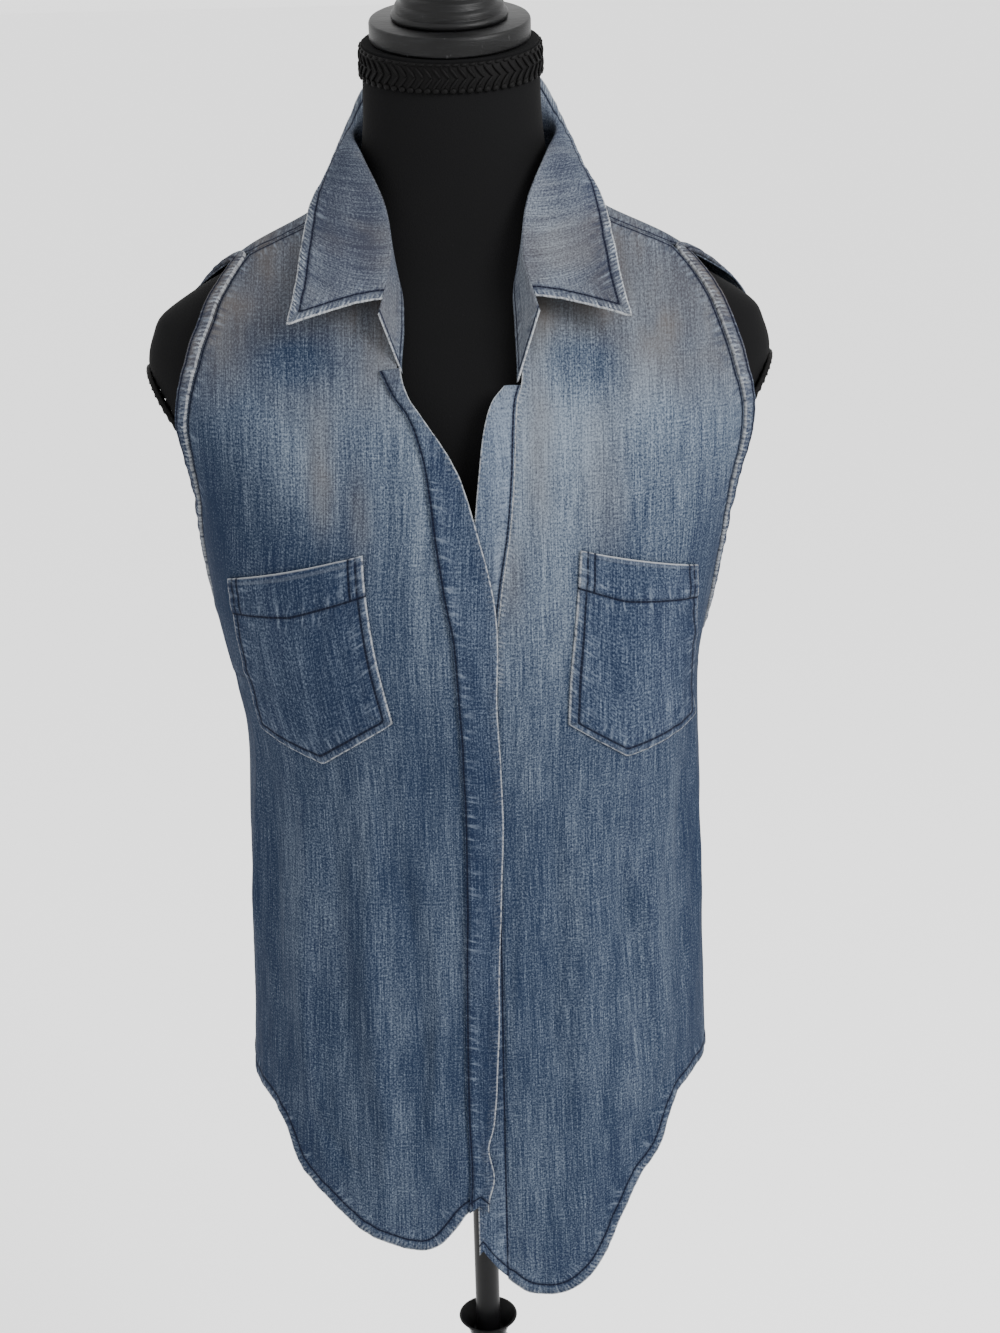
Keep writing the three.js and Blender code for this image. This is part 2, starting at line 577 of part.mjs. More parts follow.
// Dress form
function formPoint(angle, z, out = 0) {
  const [half, front, back, power, tilt] = [1, 2, 3, 4, 5].map((c) => hermite(FORM, z, c));
  const s = Math.sin(angle * RAD);
  const c = Math.cos(angle * RAD);
  const depth = (c > 0 ? front : back) + out;
  const r = ((Math.abs(s) / (half + out)) ** power + (Math.abs(c) / depth) ** power) ** (-1 / power);
  const limit = PLATE_X - (PLATE_Z - z) * PLATE_SLOPE;
  let x = r * s;
  const y = -r * c;
  if (z > 1105 && z < 1203) x = Math.sign(x) * Math.min(Math.abs(x), limit);
  return [x, y, z + tilt * y];
}
function torso() {
  const levels = spread([650, 651, 656, 668, 700, 800, 1000, 1100, 1114, 1203, 1219, 1300, 1330, 1401],
    [1, 1, 1, 1, 2, 4, 4, 1, 5, 1, 6, 2, 3]);
  const angles = spread([0, 40, 62, 90, 118, 140, 180, 220, 242, 270, 298, 320, 360],
    [4, 2, 4, 4, 2, 4, 4, 2, 4, 4, 2, 4]).slice(0, -1);
  const pos = [];
  for (const z of levels) for (const a of angles) pos.push(...formPoint(a, z));
  const n = angles.length;
  const tri = [];
  for (let r = 0; r < levels.length - 1; r += 1) {
    for (let c = 0; c < n; c += 1) {
      const [a, b] = [r * n + c, r * n + ((c + 1) % n)];
      tri.push(a, b, b + n, a, b + n, a + n);
    }
  }
  const top = (levels.length - 1) * n;
  const mid = pos.length / 3;
  pos.push(0, 0, 650, 0, 0, 1401);
  for (let c = 0; c < n; c += 1) {
    tri.push(mid, (c + 1) % n, c, mid + 1, top + c, top + ((c + 1) % n));
  }
  return solid(pos, tri);
}

// Neck braid, a raised band under the cap
function neckTrim() {
  const n = 48;
  const ring = (z, out) => Array.from({ length: n }, (_, i) => formPoint((360 * i) / n, z, out));
  return wall([ring(1381.5, GAP + 0.1), ring(1399.5, GAP + 0.1)],
    [ring(1382.5, 2.6), ring(1398.5, 2.6)], true);
}

// Arm-plate braid, a rim on each plate
function plateTrim(side) {
  const n = 36;
  const dir = [-PLATE_SLOPE, 0, -1].map((v) => v / Math.hypot(PLATE_SLOPE, 1));
  const out = [1, 0, -PLATE_SLOPE].map((v) => v / Math.hypot(PLATE_SLOPE, 1));
  const centre = [PLATE_X - (PLATE_Z - 1158) * PLATE_SLOPE, -2, 1158];
  const ring = (scale, off) => Array.from({ length: n }, (_, i) => {
    const a = (2 * Math.PI * i) / n;
    const [k, w] = [50 * scale * Math.cos(a), 45 * scale * Math.sin(a)];
    return [
      side * (centre[0] + dir[0] * k + out[0] * off),
      centre[1] + w,
      centre[2] + dir[2] * k + out[2] * off,
    ];
  });
  return wall([ring(0.86, GAP), ring(0.86, 5)], [ring(1, GAP), ring(1, 5)], true);
}

// Turned pieces: profile of radius and height from the bottom axis point to the top axis point
function turned(profile, n, tilt = 0, z0 = 0) {
  const pos = [];
  const rings = profile.filter(([r]) => r > 0);
  for (const [r, z] of rings) {
    for (let i = 0; i < n; i += 1) {
      const a = (2 * Math.PI * i) / n;
      pos.push(...lean(r * Math.sin(a), -r * Math.cos(a), z, tilt, z0));
    }
  }
  const tri = [];
  for (let r = 0; r < rings.length - 1; r += 1) {
    for (let c = 0; c < n; c += 1) {
      const [a, b] = [r * n + c, r * n + ((c + 1) % n)];
      tri.push(a, b, b + n, a, b + n, a + n);
    }
  }
  const low = pos.length / 3;
  pos.push(...lean(0, 0, rings[0][1], tilt, z0), ...lean(0, 0, rings[rings.length - 1][1], tilt, z0));
  const top = (rings.length - 1) * n;
  for (let c = 0; c < n; c += 1) tri.push(low, (c + 1) % n, c, low + 1, top + c, top + ((c + 1) % n));
  return solid(pos, tri);
}
function lean(x, y, z, tilt, z0) {
  const a = Math.atan(tilt);
  const h = z - z0;
  return [x, y * Math.cos(a) - h * Math.sin(a), z0 + y * Math.sin(a) + h * Math.cos(a)];
}

const capLow = CAP_Z - CAP_T;
const cap = turned([[CAP_R - 1.2, capLow + GAP], [CAP_R, capLow + 1.6], [CAP_R, CAP_Z - 1.4],
  [CAP_R - 1.4, CAP_Z]], 48, TILT, CAP_Z);
const finial = turned([[37, CAP_Z + GAP], [37.5, CAP_Z + 3.5], [35, CAP_Z + 5], [35, CAP_Z + 9],
  [31.5, CAP_Z + 10.5], [31.5, CAP_Z + 14.5], [27.5, CAP_Z + 16], [27, CAP_Z + 19], [17, CAP_Z + 22],
  [13, CAP_Z + 26], [14.5, CAP_Z + 30], [19, CAP_Z + 36], [20.5, CAP_Z + 42], [18.5, CAP_Z + 48.5],
  [12.5, CAP_Z + 53], [5, CAP_Z + 55.2]], 32, TILT, CAP_Z);
const pole = turned([[POLE_R, HUB_TOP - 14 + GAP], [POLE_R, 650 - GAP]], 24);
const hub = turned([[24, BASE_H + 60], [24, 330], [22, 345], [26, 372], [25, 392], [16, 406], [14, 412],
  [17, 422], [23, HUB_TOP], [21.5, HUB_TOP], [12, HUB_TOP - 14]], 28);
const base = turned([[BASE_R - 3, 0], [BASE_R, 3], [BASE_R, BASE_H - 8], [BASE_R - 8, BASE_H],
  [90, BASE_H + 8], [44, BASE_H + 20], [31, BASE_H + 40], [29, BASE_H + 60 - GAP]], 48);

const DENIM = { color: 0x47688f, roughness: 0.95, metalness: 0 };
const DENIM_DEEP = { color: 0x3a587f, roughness: 0.95, metalness: 0 };
const BLACK_CLOTH = { color: 0x17161a, roughness: 1, metalness: 0 };
const BRAID = { color: 0x111113, roughness: 0.9, metalness: 0 };
const BLACK_WOOD = { color: 0x2b2b2c, roughness: 0.6, metalness: 0 };
const BLACK_METAL = { color: 0x1c1c1e, roughness: 0.45, metalness: 0.3 };

const group = new THREE.Group();
for (const [name, geometry, look] of [
  ['front_right', frontRight, DENIM],
  ['front_left', frontLeft, DENIM],
  ['back', back, DENIM],
  ['placket_right', bandRight, DENIM_DEEP],
  ['placket_left', bandLeft, DENIM_DEEP],
  ['collar_stand', stand, DENIM],
  ['collar_leaf', leaf, DENIM],
  ['armhole_band_right', armholeBand(-1), DENIM_DEEP],
  ['armhole_band_left', armholeBand(1), DENIM_DEEP],
  ['pocket_right', pocket(POCKET_RIGHT), DENIM_DEEP],
  ['pocket_left', pocket(POCKET_LEFT), DENIM_DEEP],
  ['form_torso', torso(), BLACK_CLOTH],
  ['neck_trim', neckTrim(), BRAID],
  ['plate_trim_right', plateTrim(-1), BRAID],
  ['plate_trim_left', plateTrim(1), BRAID],
  ['neck_cap', cap, BLACK_WOOD],
  ['finial', finial, BLACK_WOOD],
  ['pole', pole, BLACK_METAL],
  ['hub', hub, BLACK_METAL],
  ['base', base, BLACK_METAL],
]) {
  const mesh = new THREE.Mesh(geometry, new THREE.MeshStandardMaterial(look));
  mesh.name = name;
  group.add(mesh);
}

export default group;
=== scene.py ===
"""Sleeveless denim shirt on its dress form: fine cloth shells on the CAD's sections, looks and light."""
import math
import bpy
import numpy as np
from mathutils import Matrix, Vector


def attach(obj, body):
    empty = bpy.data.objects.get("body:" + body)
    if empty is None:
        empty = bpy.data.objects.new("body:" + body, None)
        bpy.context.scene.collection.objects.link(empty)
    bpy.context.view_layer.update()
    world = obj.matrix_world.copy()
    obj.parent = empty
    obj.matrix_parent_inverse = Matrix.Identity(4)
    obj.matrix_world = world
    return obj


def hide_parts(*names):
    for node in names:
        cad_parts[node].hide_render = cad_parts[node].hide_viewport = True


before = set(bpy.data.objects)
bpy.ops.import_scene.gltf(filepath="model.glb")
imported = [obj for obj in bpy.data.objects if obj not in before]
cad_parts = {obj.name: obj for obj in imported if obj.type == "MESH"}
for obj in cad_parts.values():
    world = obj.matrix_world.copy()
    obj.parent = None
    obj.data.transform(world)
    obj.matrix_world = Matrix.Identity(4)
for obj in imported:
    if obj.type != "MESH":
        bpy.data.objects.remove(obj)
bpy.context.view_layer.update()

# Sections and outlines in mm, the same as the CAD's.
# SHIRT and FORM: level, half width, depth in front, depth behind, roundness, shift or tilt
SHIRT = [
    [530, 175, 147, 133, 2.2, 0], [600, 171, 143, 129, 2.2, 0], [660, 168, 140, 126, 2.2, 0],
    [730, 165.5, 137, 122, 2.2, 1], [800, 163.5, 134, 117, 2.2, 1], [880, 160, 131, 112, 2.2, 2],
    [940, 158, 132, 108, 2.25, 2], [985, 161, 136, 106, 2.3, -1], [1030, 169, 138, 105, 2.3, -2],
    [1080, 177, 136, 104, 2.3, 0], [1120, 184, 129, 103, 2.3, 3], [1150, 196, 120, 102, 2.3, 4],
    [1175, 208, 109, 100, 2.3, 4], [1200, 214, 95, 97, 2.3, 4], [1219, 211, 84, 91, 2.25, 4],
    [1238, 191, 73, 83, 2.2, 4], [1258, 161, 62, 75, 2.1, 3], [1275, 136, 56, 69, 2.0, 2],
    [1293, 99, 51, 63, 2.0, 1], [1304, 83, 50, 61, 2.0, 1], [1316, 76, 51, 59, 2.0, 1],
]

FORM = [
    [650, 126, 88, 86, 2.2, 0], [651, 134, 95, 93, 2.2, 0], [656, 141, 101, 99, 2.2, 0],
    [668, 145, 104, 102, 2.2, 0], [700, 149, 107, 105, 2.2, 0], [750, 151, 109, 106, 2.2, 0],
    [810, 143, 101, 98, 2.2, 0], [870, 128, 90, 86, 2.2, 0], [930, 118, 87, 80, 2.2, 0],
    [980, 121, 96, 82, 2.2, 0], [1030, 131, 114, 87, 2.2, 0], [1075, 138, 124, 92, 2.2, 0],
    [1104, 142, 119, 93, 2.2, 0], [1114, 149.6, 116, 93, 2.2, 0], [1125, 163, 112, 93, 2.2, 0],
    [1143, 184, 106, 92, 2.25, 0], [1165, 201, 98, 91, 2.3, 0], [1190, 206.5, 87, 87, 2.3, 0],
    [1205, 207, 79, 84, 2.3, 0], [1219, 203, 72, 79, 2.25, 0], [1230, 197.5, 68, 76, 2.2, 0],
    [1242, 181.2, 62, 72, 2.2, 0], [1258, 154.5, 54, 67, 2.1, 0], [1272, 133, 50, 63, 2.0, 0],
    [1286, 105.9, 47.5, 59.2, 2.0, 0], [1296, 85.5, 46.5, 55.2, 2.0, 0],
    [1308, 70.4, 46, 52.7, 2.0, 0], [1324, 62, 46, 50, 2.0, 0.02], [1350, 58, 47, 48, 2.0, 0.1],
    [1378, 57, 48, 48, 2.0, 0.2], [1401, 56.5, 48, 48, 2.0, 0.227],
]

# Flutes toward the hem: angle at the hem, angle above, level where it ends, half width, height
FOLDS = [
    [-29, -33, 935, 9, 3.4], [-52, -48, 930, 9, 3.2], [-74, -70, 940, 9, 3], [29, 33, 930, 9, 2.8],
    [50, 47, 930, 9, 3.2], [72, 67, 940, 9, 3.6], [105, 108, 960, 10, 3.2],
    [130, 138, 1010, 11, 3.8], [158, 162, 1060, 11, 3.2], [-107, -110, 970, 10, 3.4],
    [-133, -140, 1030, 11, 3.4], [-160, -158, 1080, 11, 3.8],
]

# Hems: angle, level
HEM_RIGHT = [
    [0, 629], [-4, 622], [-8, 608], [-12, 597], [-17, 593], [-25, 597], [-34, 606], [-43, 622],
    [-52, 641], [-58, 665], [-66, 679], [-78, 682], [-90, 684],
]

HEM_LEFT = [
    [0, 592], [4, 577], [9, 564], [14, 556.5], [21, 555], [27, 562], [33, 579], [39, 607],
    [45, 632], [52, 651], [58, 678], [66, 687], [78, 687], [90, 684],
]

HEM_BACK = [
    [90, 684], [97, 680], [106, 664], [116, 630], [128, 590], [142, 562], [160, 549], [180, 545],
]

# Fronts: level and x of the inner edge, angle and level of the outer edge
FRONT_RIGHT = [
    [1010, -0.5, 90, 1010], [1040, -2.5, 87, 1026], [1075, -8, 83, 1060], [1110, -13, 78.5, 1098],
    [1145, -17, 74.5, 1128], [1172, -24, 71.8, 1156], [1192, -33, 70.3, 1184],
    [1207, -38, 70.5, 1208], [1233, -36.3, 73.2, 1231], [1256, -37.5, 77.5, 1249],
    [1284, -48, 81, 1262], [1306.5, -70, 83, 1271],
]

FRONT_LEFT = [
    [1010, 19, 90, 1000], [1040, 20, 86, 1014], [1075, 24, 81, 1036], [1110, 30, 76.5, 1070],
    [1145, 33.5, 73.5, 1106], [1172, 35, 71.8, 1140], [1188, 36.5, 70.4, 1172],
    [1200, 40, 70, 1200], [1233, 39.5, 72.1, 1224], [1256, 39.5, 76.5, 1245],
    [1284, 49, 80.5, 1259], [1306.5, 72, 83, 1270],
]

# Back: middle level, then angle and level of its right and of its left edge
BACK = [
    [1010, 90, 1010, 90, 1000], [1040, 93.5, 1024, 94, 1014], [1080, 98.5, 1050, 99, 1040],
    [1120, 102.5, 1084, 103, 1076], [1160, 105, 1122, 105.5, 1116], [1195, 106, 1160, 106.5, 1156],
    [1225, 106, 1196, 106, 1194], [1250, 104, 1226, 104, 1223], [1270, 99, 1250, 99, 1247],
    [1288, 91, 1265.5, 91, 1263.5], [1301, 85.5, 1270.7, 85.5, 1269.7],
    [1308, 83.4, 1271, 83.4, 1270],
]

# Plackets: level, x of both edges
BAND_RIGHT = [
    [606, -8.5, 7], [629, -8.2, 4.6], [652, -7, 8.6], [675, -7.4, 6], [693, -7.8, 10.5],
    [748, -7.2, 14.6], [785, -6.5, 16.6], [858, -4.4, 19], [930, -3.6, 21], [1003, -6, 20.8],
    [1043, -8, 20.5], [1069, -12.5, 18.6], [1104, -17, 11.4], [1133, -20, 4], [1154, -23.5, -5],
    [1177, -31, -21], [1192, -42, -32], [1206, -49, -35.5],
]

BAND_LEFT = [
    [592, -2.5, 16.5], [629, -2.3, 17], [652, -1.1, 17.4], [675, -1.5, 17.7], [693, -1.9, 18],
    [748, -1.3, 18.5], [785, -0.6, 18.7], [858, 1.5, 19], [930, 2.3, 18.8], [1003, 0.3, 18.6],
    [1040, 0.8, 19.6], [1075, 4.5, 23.6], [1110, 7.5, 29.6], [1145, 11.5, 33.1], [1172, 15.5, 34.6],
    [1188, 21, 35.6], [1196.5, 29, 40.5],
]

# Pocket corners, x and level: two at the top, two at the foot, the tip
POCKET_RIGHT = [[-152, 1071], [-62, 1098], [-47.7, 987], [-138, 966], [-94.8, 952]]

POCKET_LEFT = [[151, 1073], [73.3, 1097.6], [65, 981.7], [153, 956], [103, 951]]

# Collar from its front corner back: roll line, outer edge, how far the leaf bulges
COLLAR = [
    [-48, -91, 1242, -105, -97, 1238, 2], [-43.5, -81, 1258, -101, -74, 1256, 3],
    [-39.5, -67, 1276, -98, -50, 1276, 6], [-44, -50, 1305, -93, -21, 1301, 9],
    [-58, -28, 1333, -82.5, 5, 1321, 8.5], [-65, 18, 1341, -71, 43, 1347, 4],
    [-50, 44, 1343, -57, 66, 1373, 2], [-26, 57, 1343, -33, 80, 1386, 0],
    [0, 62, 1343, 0, 85, 1390, 0],
]
CLOTH, GAP = 1.2, 0.3
BAND_LIFT = CLOTH + GAP + 0.1
CROSS_Z = 1010          # level where the plackets cross
LOW_Z = 600             # level that the lower cloth is measured from
DEGREE_MM = 2.5         # cloth to one degree round the body, for creases and plackets
TURN_MM = 148           # cloth to one radian, for the weave of fronts and back
SIDE_TRIM, AT_SIDE = 0.055, 0.9995      # degrees that keep fronts and back apart at the side seams
# How far stitching runs from its edge or seam
HEM_STITCH, SEAM_STITCH, PLACKET_STITCH, POCKET_STITCH = 7.5, 2.2, 1.3, 4.6
BAND_STITCH, STAND_STITCH, LEAF_STITCH = 6.2, 3.6, 6.0
POCKET_HEM = 24.0
NECK_ANGLE, SEAM_ANGLE, NECK_Z, BACK_Z, NECK_SHARE = 71.2, 83.0, 1306.5, 1308.0, 0.56
LEAF_START, COLLAR_SHIFT = 0.035, 4.0
PLATE_X, PLATE_Z, PLATE_SLOPE, PLATE_FOOT, PLATE_HEAD = 200.0, 1190.0, 0.66, 1105, 1203
TILT = 0.227
CAP_Z = 1414.5
FAR = 99.0              # stands for no edge near

# Creases, listed one by one: angle and z of both ends, half-width mm, height mm (troughs below zero)
CREASES = [
    (-30, 948, -26, 640, 9, 1.5), (-40, 940, -38, 700, 8, -1.3), (-48, 945, -50, 660, 8, 1.4),
    (-60, 950, -61, 720, 8, -1.2), (-68, 1010, -72, 760, 7, 1.0), (-20, 905, -17, 690, 8, -1.1),
    (-12, 860, -11, 640, 6, 0.8), (24, 960, 20, 700, 8, -1.2), (31, 940, 30, 640, 9, 1.3),
    (42, 945, 45, 690, 8, -1.2), (52, 935, 55, 660, 8, 1.4), (64, 960, 64, 740, 8, -1.1),
    (74, 1000, 73, 730, 7, 1.1), (14, 900, 12, 720, 5, 0.7), (-74, 996, -48, 1012, 5, 1.0),
    (-82, 985, -60, 1000, 5, -0.9), (-86, 1030, -66, 1046, 6, 0.9), (78, 1010, 58, 1030, 5, 0.9),
    (84, 985, 66, 1004, 5, -0.8), (-70, 1180, -40, 1110, 9, 0.9), (-64, 1206, -38, 1150, 8, -0.9),
    (-58, 1236, -34, 1180, 7, 0.8), (66, 1190, 40, 1120, 9, 0.9), (62, 1214, 38, 1160, 8, -0.8),
    (55, 1240, 36, 1196, 7, 0.8), (-34, 1098, -22, 1010, 8, 1.0), (-24, 1150, -18, 1050, 7, -0.9),
    (30, 1130, 27, 1010, 8, 0.9), (38, 1090, 32, 1000, 7, -0.7), (-52, 700, -30, 640, 6, -0.8),
    (34, 640, 16, 600, 6, 0.8), (-20, 720, -28, 640, 6, 0.7), (58, 720, 40, 650, 6, -0.7),
    (96, 1000, 100, 740, 8, 1.3), (112, 980, 114, 700, 9, -1.5), (122, 1060, 124, 680, 9, 1.6),
    (135, 1120, 140, 640, 10, -1.5), (148, 1090, 150, 620, 9, 1.5), (162, 1150, 165, 600, 10, -1.3),
    (176, 1180, 178, 600, 9, 1.2), (190, 1130, 192, 620, 9, -1.4), (203, 1160, 200, 640, 10, 1.6),
    (215, 1080, 218, 650, 9, -1.4), (228, 1100, 226, 660, 9, 1.5), (240, 1020, 243, 700, 8, -1.2),
    (252, 1010, 250, 740, 8, 1.2), (110, 1230, 150, 1180, 9, 0.9), (112, 1190, 150, 1130, 9, -0.9),
    (250, 1228, 212, 1180, 9, 0.9), (248, 1186, 212, 1126, 9, -0.8), (130, 960, 165, 930, 7, 0.8),
    (225, 950, 196, 922, 7, -0.8), (95, 905, 120, 890, 6, 0.8), (262, 900, 240, 884, 6, 0.8),
]
RAD = math.pi / 180


def table(rows, key, c, by_index=False):
    rows = np.asarray(rows, float)
    k = np.arange(len(rows), dtype=float) if by_index else rows[:, 0]
    v = rows[:, c]
    if k[0] > k[-1]:
        k, v = k[::-1], v[::-1]
    key = np.asarray(key, float)
    m = np.empty(len(k))
    m[1:-1] = (v[2:] - v[:-2]) / (k[2:] - k[:-2])
    m[0] = (v[1] - v[0]) / (k[1] - k[0])
    m[-1] = (v[-1] - v[-2]) / (k[-1] - k[-2])
    i = np.clip(np.searchsorted(k, key, side="right") - 1, 0, len(k) - 2)
    h = k[i + 1] - k[i]
    t = (key - k[i]) / h
    inside = ((2 * t**3 - 3 * t**2 + 1) * v[i] + (t**3 - 2 * t**2 + t) * h * m[i]
              + (-2 * t**3 + 3 * t**2) * v[i + 1] + (t**3 - t**2) * h * m[i + 1])
    below = v[0] + (key - k[0]) * m[0]
    above = v[-1] + (key - k[-1]) * m[-1]
    return np.where(key < k[0], below, np.where(key > k[-1], above, inside))


def along(rows, t, c):
    return table(rows, np.clip(t, 0, 1) * (len(rows) - 1), c, True)


def step(a, b, x):
    t = np.clip((x - a) / (b - a), 0, 1)
    return t * t * (3 - 2 * t)


def hash2(ix, iy, seed):
    n = np.sin(ix * 127.1 + iy * 311.7 + seed * 74.7) * 43758.5453
    return n - np.floor(n)


def noise(x, y, seed=0):
    ix, iy = np.floor(x), np.floor(y)
    fx, fy = x - ix, y - iy
    fx, fy = fx * fx * (3 - 2 * fx), fy * fy * (3 - 2 * fy)
    a, b = hash2(ix, iy, seed), hash2(ix + 1, iy, seed)
    c, d = hash2(ix, iy + 1, seed), hash2(ix + 1, iy + 1, seed)
    return (a + (b - a) * fx) * (1 - fy) + (c + (d - c) * fx) * fy - 0.5


def surface(angle, z):
    half, front, back, power, shift = (table(SHIRT, z, c) for c in (1, 2, 3, 4, 5))
    s, c = np.sin(angle * RAD), np.cos(angle * RAD)
    depth = np.where(c > 0, front, back)
    r = ((np.abs(s) / half) ** power + (np.abs(c) / depth) ** power) ** (-1 / power)
    for low, high, top, wide, height in FOLDS:
        f = np.clip((top - z) / (top - LOW_Z), 0, 1.15)
        away = angle - (high + (low - high) * f)
        away = away - 360 * np.round(away / 360)
        r = r + height * f * f * np.exp(-((away / wide) ** 2))
    bold = 3.3 - 2.1 * step(930, 1040, z)
    for a0, z0, a1, z1, wide, height in CREASES:
        u0, u1 = a0 * DEGREE_MM, a1 * DEGREE_MM
        turn = np.round((angle - (a0 + a1) / 2) / 360) * 360
        px, pz = (angle - turn) * DEGREE_MM - u0, z - z0
        dx, dz = u1 - u0, z1 - z0
        length = math.hypot(dx, dz)
        run = (px * dx + pz * dz) / length
        off = (px * dz - pz * dx) / length + 3.5 * np.sin(run * 0.021 + a0)
        ease = step(0, 0.35 * length, run) * step(0, 0.3 * length, length - run)
        swell = 0.75 + 0.5 * noise(run * 0.02, a0 + 0 * run, 3)
        r = r + bold * height * ease * swell * np.exp(-((off / wide) ** 2))
    uneven = 1 - 0.7 * step(1230, 1290, z) + 0.8 * (1 - step(930, 1060, z))
    r = r + uneven * (0.9 * noise(angle * 0.16, z * 0.017, 1) + 0.45 * noise(angle * 0.42, z * 0.04, 2))
    return np.stack([r * s + shift, -r * c, z + 0 * r], -1)


def unit(v):
    return v / np.maximum(np.linalg.norm(v, axis=-1, keepdims=True), 1e-9)


def normal_at(angle, z, p):
    return unit(np.cross(surface(angle + 0.4, z) - p, surface(angle, z + 0.8) - p))


def skin(angle, z, out):
    """Points that lie out mm off the shirt's sections."""
    p = surface(angle, z)
    return p + normal_at(angle, z, p) * np.asarray(out)[..., None]


def angle_at(x, z):
    half, front, power, shift = (table(SHIRT, z, c) for c in (1, 2, 4, 5))
    k = np.minimum(np.abs(x - shift) / half, 0.9999)
    return np.arctan2(x - shift, front * (1 - k**power) ** (1 / power)) / RAD


def polyline(pts, q):
    """Distance to a line of points and the length run along it, for every q."""
    a, b = pts[:-1], pts[1:]
    seg = b - a
    l2 = (seg**2).sum(1)
    run0 = np.concatenate([[0], np.cumsum(np.sqrt(l2))[:-1]])
    flat = q.reshape(-1, 3)
    best, arc = np.full(len(flat), 1e9), np.zeros(len(flat))
    for i in range(len(a)):
        d = flat - a[i]
        t = np.clip((d @ seg[i]) / max(l2[i], 1e-9), 0, 1)
        dist = np.linalg.norm(d - t[:, None] * seg[i], axis=1)
        near = dist < best
        best[near] = dist[near]
        arc[near] = run0[i] + t[near] * math.sqrt(l2[i])
    return best.reshape(q.shape[:-1]), arc.reshape(q.shape[:-1])


def add_mesh(name, verts, faces, material):
    """A smooth mesh from points in mm, on the part's one body."""
    mesh = bpy.data.meshes.new(name)
    mesh.from_pydata((np.asarray(verts) * 0.001).tolist(), [], faces)
    mesh.polygons.foreach_set("use_smooth", [True] * len(mesh.polygons))
    mesh.materials.append(material)
    o = bpy.data.objects.new(name, mesh)
    bpy.context.scene.collection.objects.link(o)
    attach(o, "root")
    return o


def make(name, inner, outer, material, fields, round_=False, slot="denim"):
    """A closed shell between two grids (rows, columns, xyz) with its cloth fields."""
    rows, cols = outer.shape[:2]
    n = rows * cols
    v = np.concatenate([inner.reshape(-1, 3), outer.reshape(-1, 3)])
    idx = np.arange(n).reshape(rows, cols)
    if round_:
        idx = np.concatenate([idx, idx[:, :1]], 1)
    a, b, c, d = idx[:-1, :-1], idx[:-1, 1:], idx[1:, 1:], idx[1:, :-1]
    faces = [np.stack([a, b, c, d], -1).reshape(-1, 4) + n, np.stack([a, d, c, b], -1).reshape(-1, 4)]
    rims = [(idx[0], False), (idx[-1], True)]
    if not round_:
        rims += [(idx[:, 0], True), (idx[:, -1], False)]
    for line, flip in rims:
        q = np.stack([line[:-1], line[1:], line[1:] + n, line[:-1] + n], -1)
        faces.append(q[:, ::-1] if flip else q)
    f = np.concatenate(faces)
    p = v[f]
    volume = np.einsum("ij,ij->i", p[:, 0], np.cross(p[:, 1], p[:, 2])).sum()
    volume += np.einsum("ij,ij->i", p[:, 0], np.cross(p[:, 2], p[:, 3])).sum()
    if volume < 0:
        f = f[:, ::-1]
    o = add_mesh(name, v, f.tolist(), material)
    for key, value in fields.items():
        full = np.concatenate([value.reshape(-1, value.shape[-1])] * 2)
        if full.shape[1] < 3:
            full = np.concatenate([full, np.zeros((len(full), 3 - full.shape[1]))], 1)
        at = o.data.attributes.new(key, "FLOAT_VECTOR", "POINT")
        at.data.foreach_set("vector", full.astype(np.float32).ravel())
    return o


def pair(a, b):
    return np.stack([a, b], -1)


def flat(grid):
    """Length across and along a grid in mm, as cloth coordinates."""
    du = np.linalg.norm(np.diff(grid, axis=1), axis=-1)
    dv = np.linalg.norm(np.diff(grid, axis=0), axis=-1)
    u = np.concatenate([np.zeros((grid.shape[0], 1)), np.cumsum(du, 1)], 1)
    v = np.concatenate([np.zeros((1, grid.shape[1])), np.cumsum(dv, 0)], 0)
    return pair(u - u[:, -1:] / 2, v)


def body_fields(grid):
    """Warp and weft coordinates that hang straight down from the shoulders."""
    x, y, z = grid[..., 0], grid[..., 1], grid[..., 2]
    turn = np.arctan2(x, -y)
    half, front, back, power, shift = (table(SHIRT, 1120.0, c) for c in (1, 2, 3, 4, 5))
    share = np.minimum(np.abs(x - shift) / half, 0.9999)
    yoke = np.arctan2(x - shift, np.where(y < 0, front, back) * (1 - share**power) ** (1 / power))
    yoke = np.where(y < 0, yoke, np.sign(x + 1e-9) * math.pi - yoke)
    k = step(1060, 1150, z)
    return pair((turn + (yoke - turn) * k) * TURN_MM, z)


# Marks on the fronts: x, z, half width, half height, more or less faded, beige. The first two are painted
# shadow under the collar leaf's front corners; the rest are wash marks.
WASH_AND_SHADOW_MARKS = [
    (-101, 1217, 33, 22, -0.52, -0.8), (76, 1210, 29, 23, -0.52, -0.8),
    (-134, 1150, 17, 58, -0.22, -0.3), (127, 1150, 13, 44, -0.12, -0.2),
    (-86, 1148, 9, 36, 0.10, 0.55), (-64, 1122, 7, 30, 0.08, 0.5),
    (50, 1160, 9, 42, 0.10, 0.55), (88, 1138, 13, 38, 0.10, 0.55),
    (-108, 1090, 11, 26, -0.14, -0.2), (30, 1085, 9, 30, 0.10, 0.3),
]


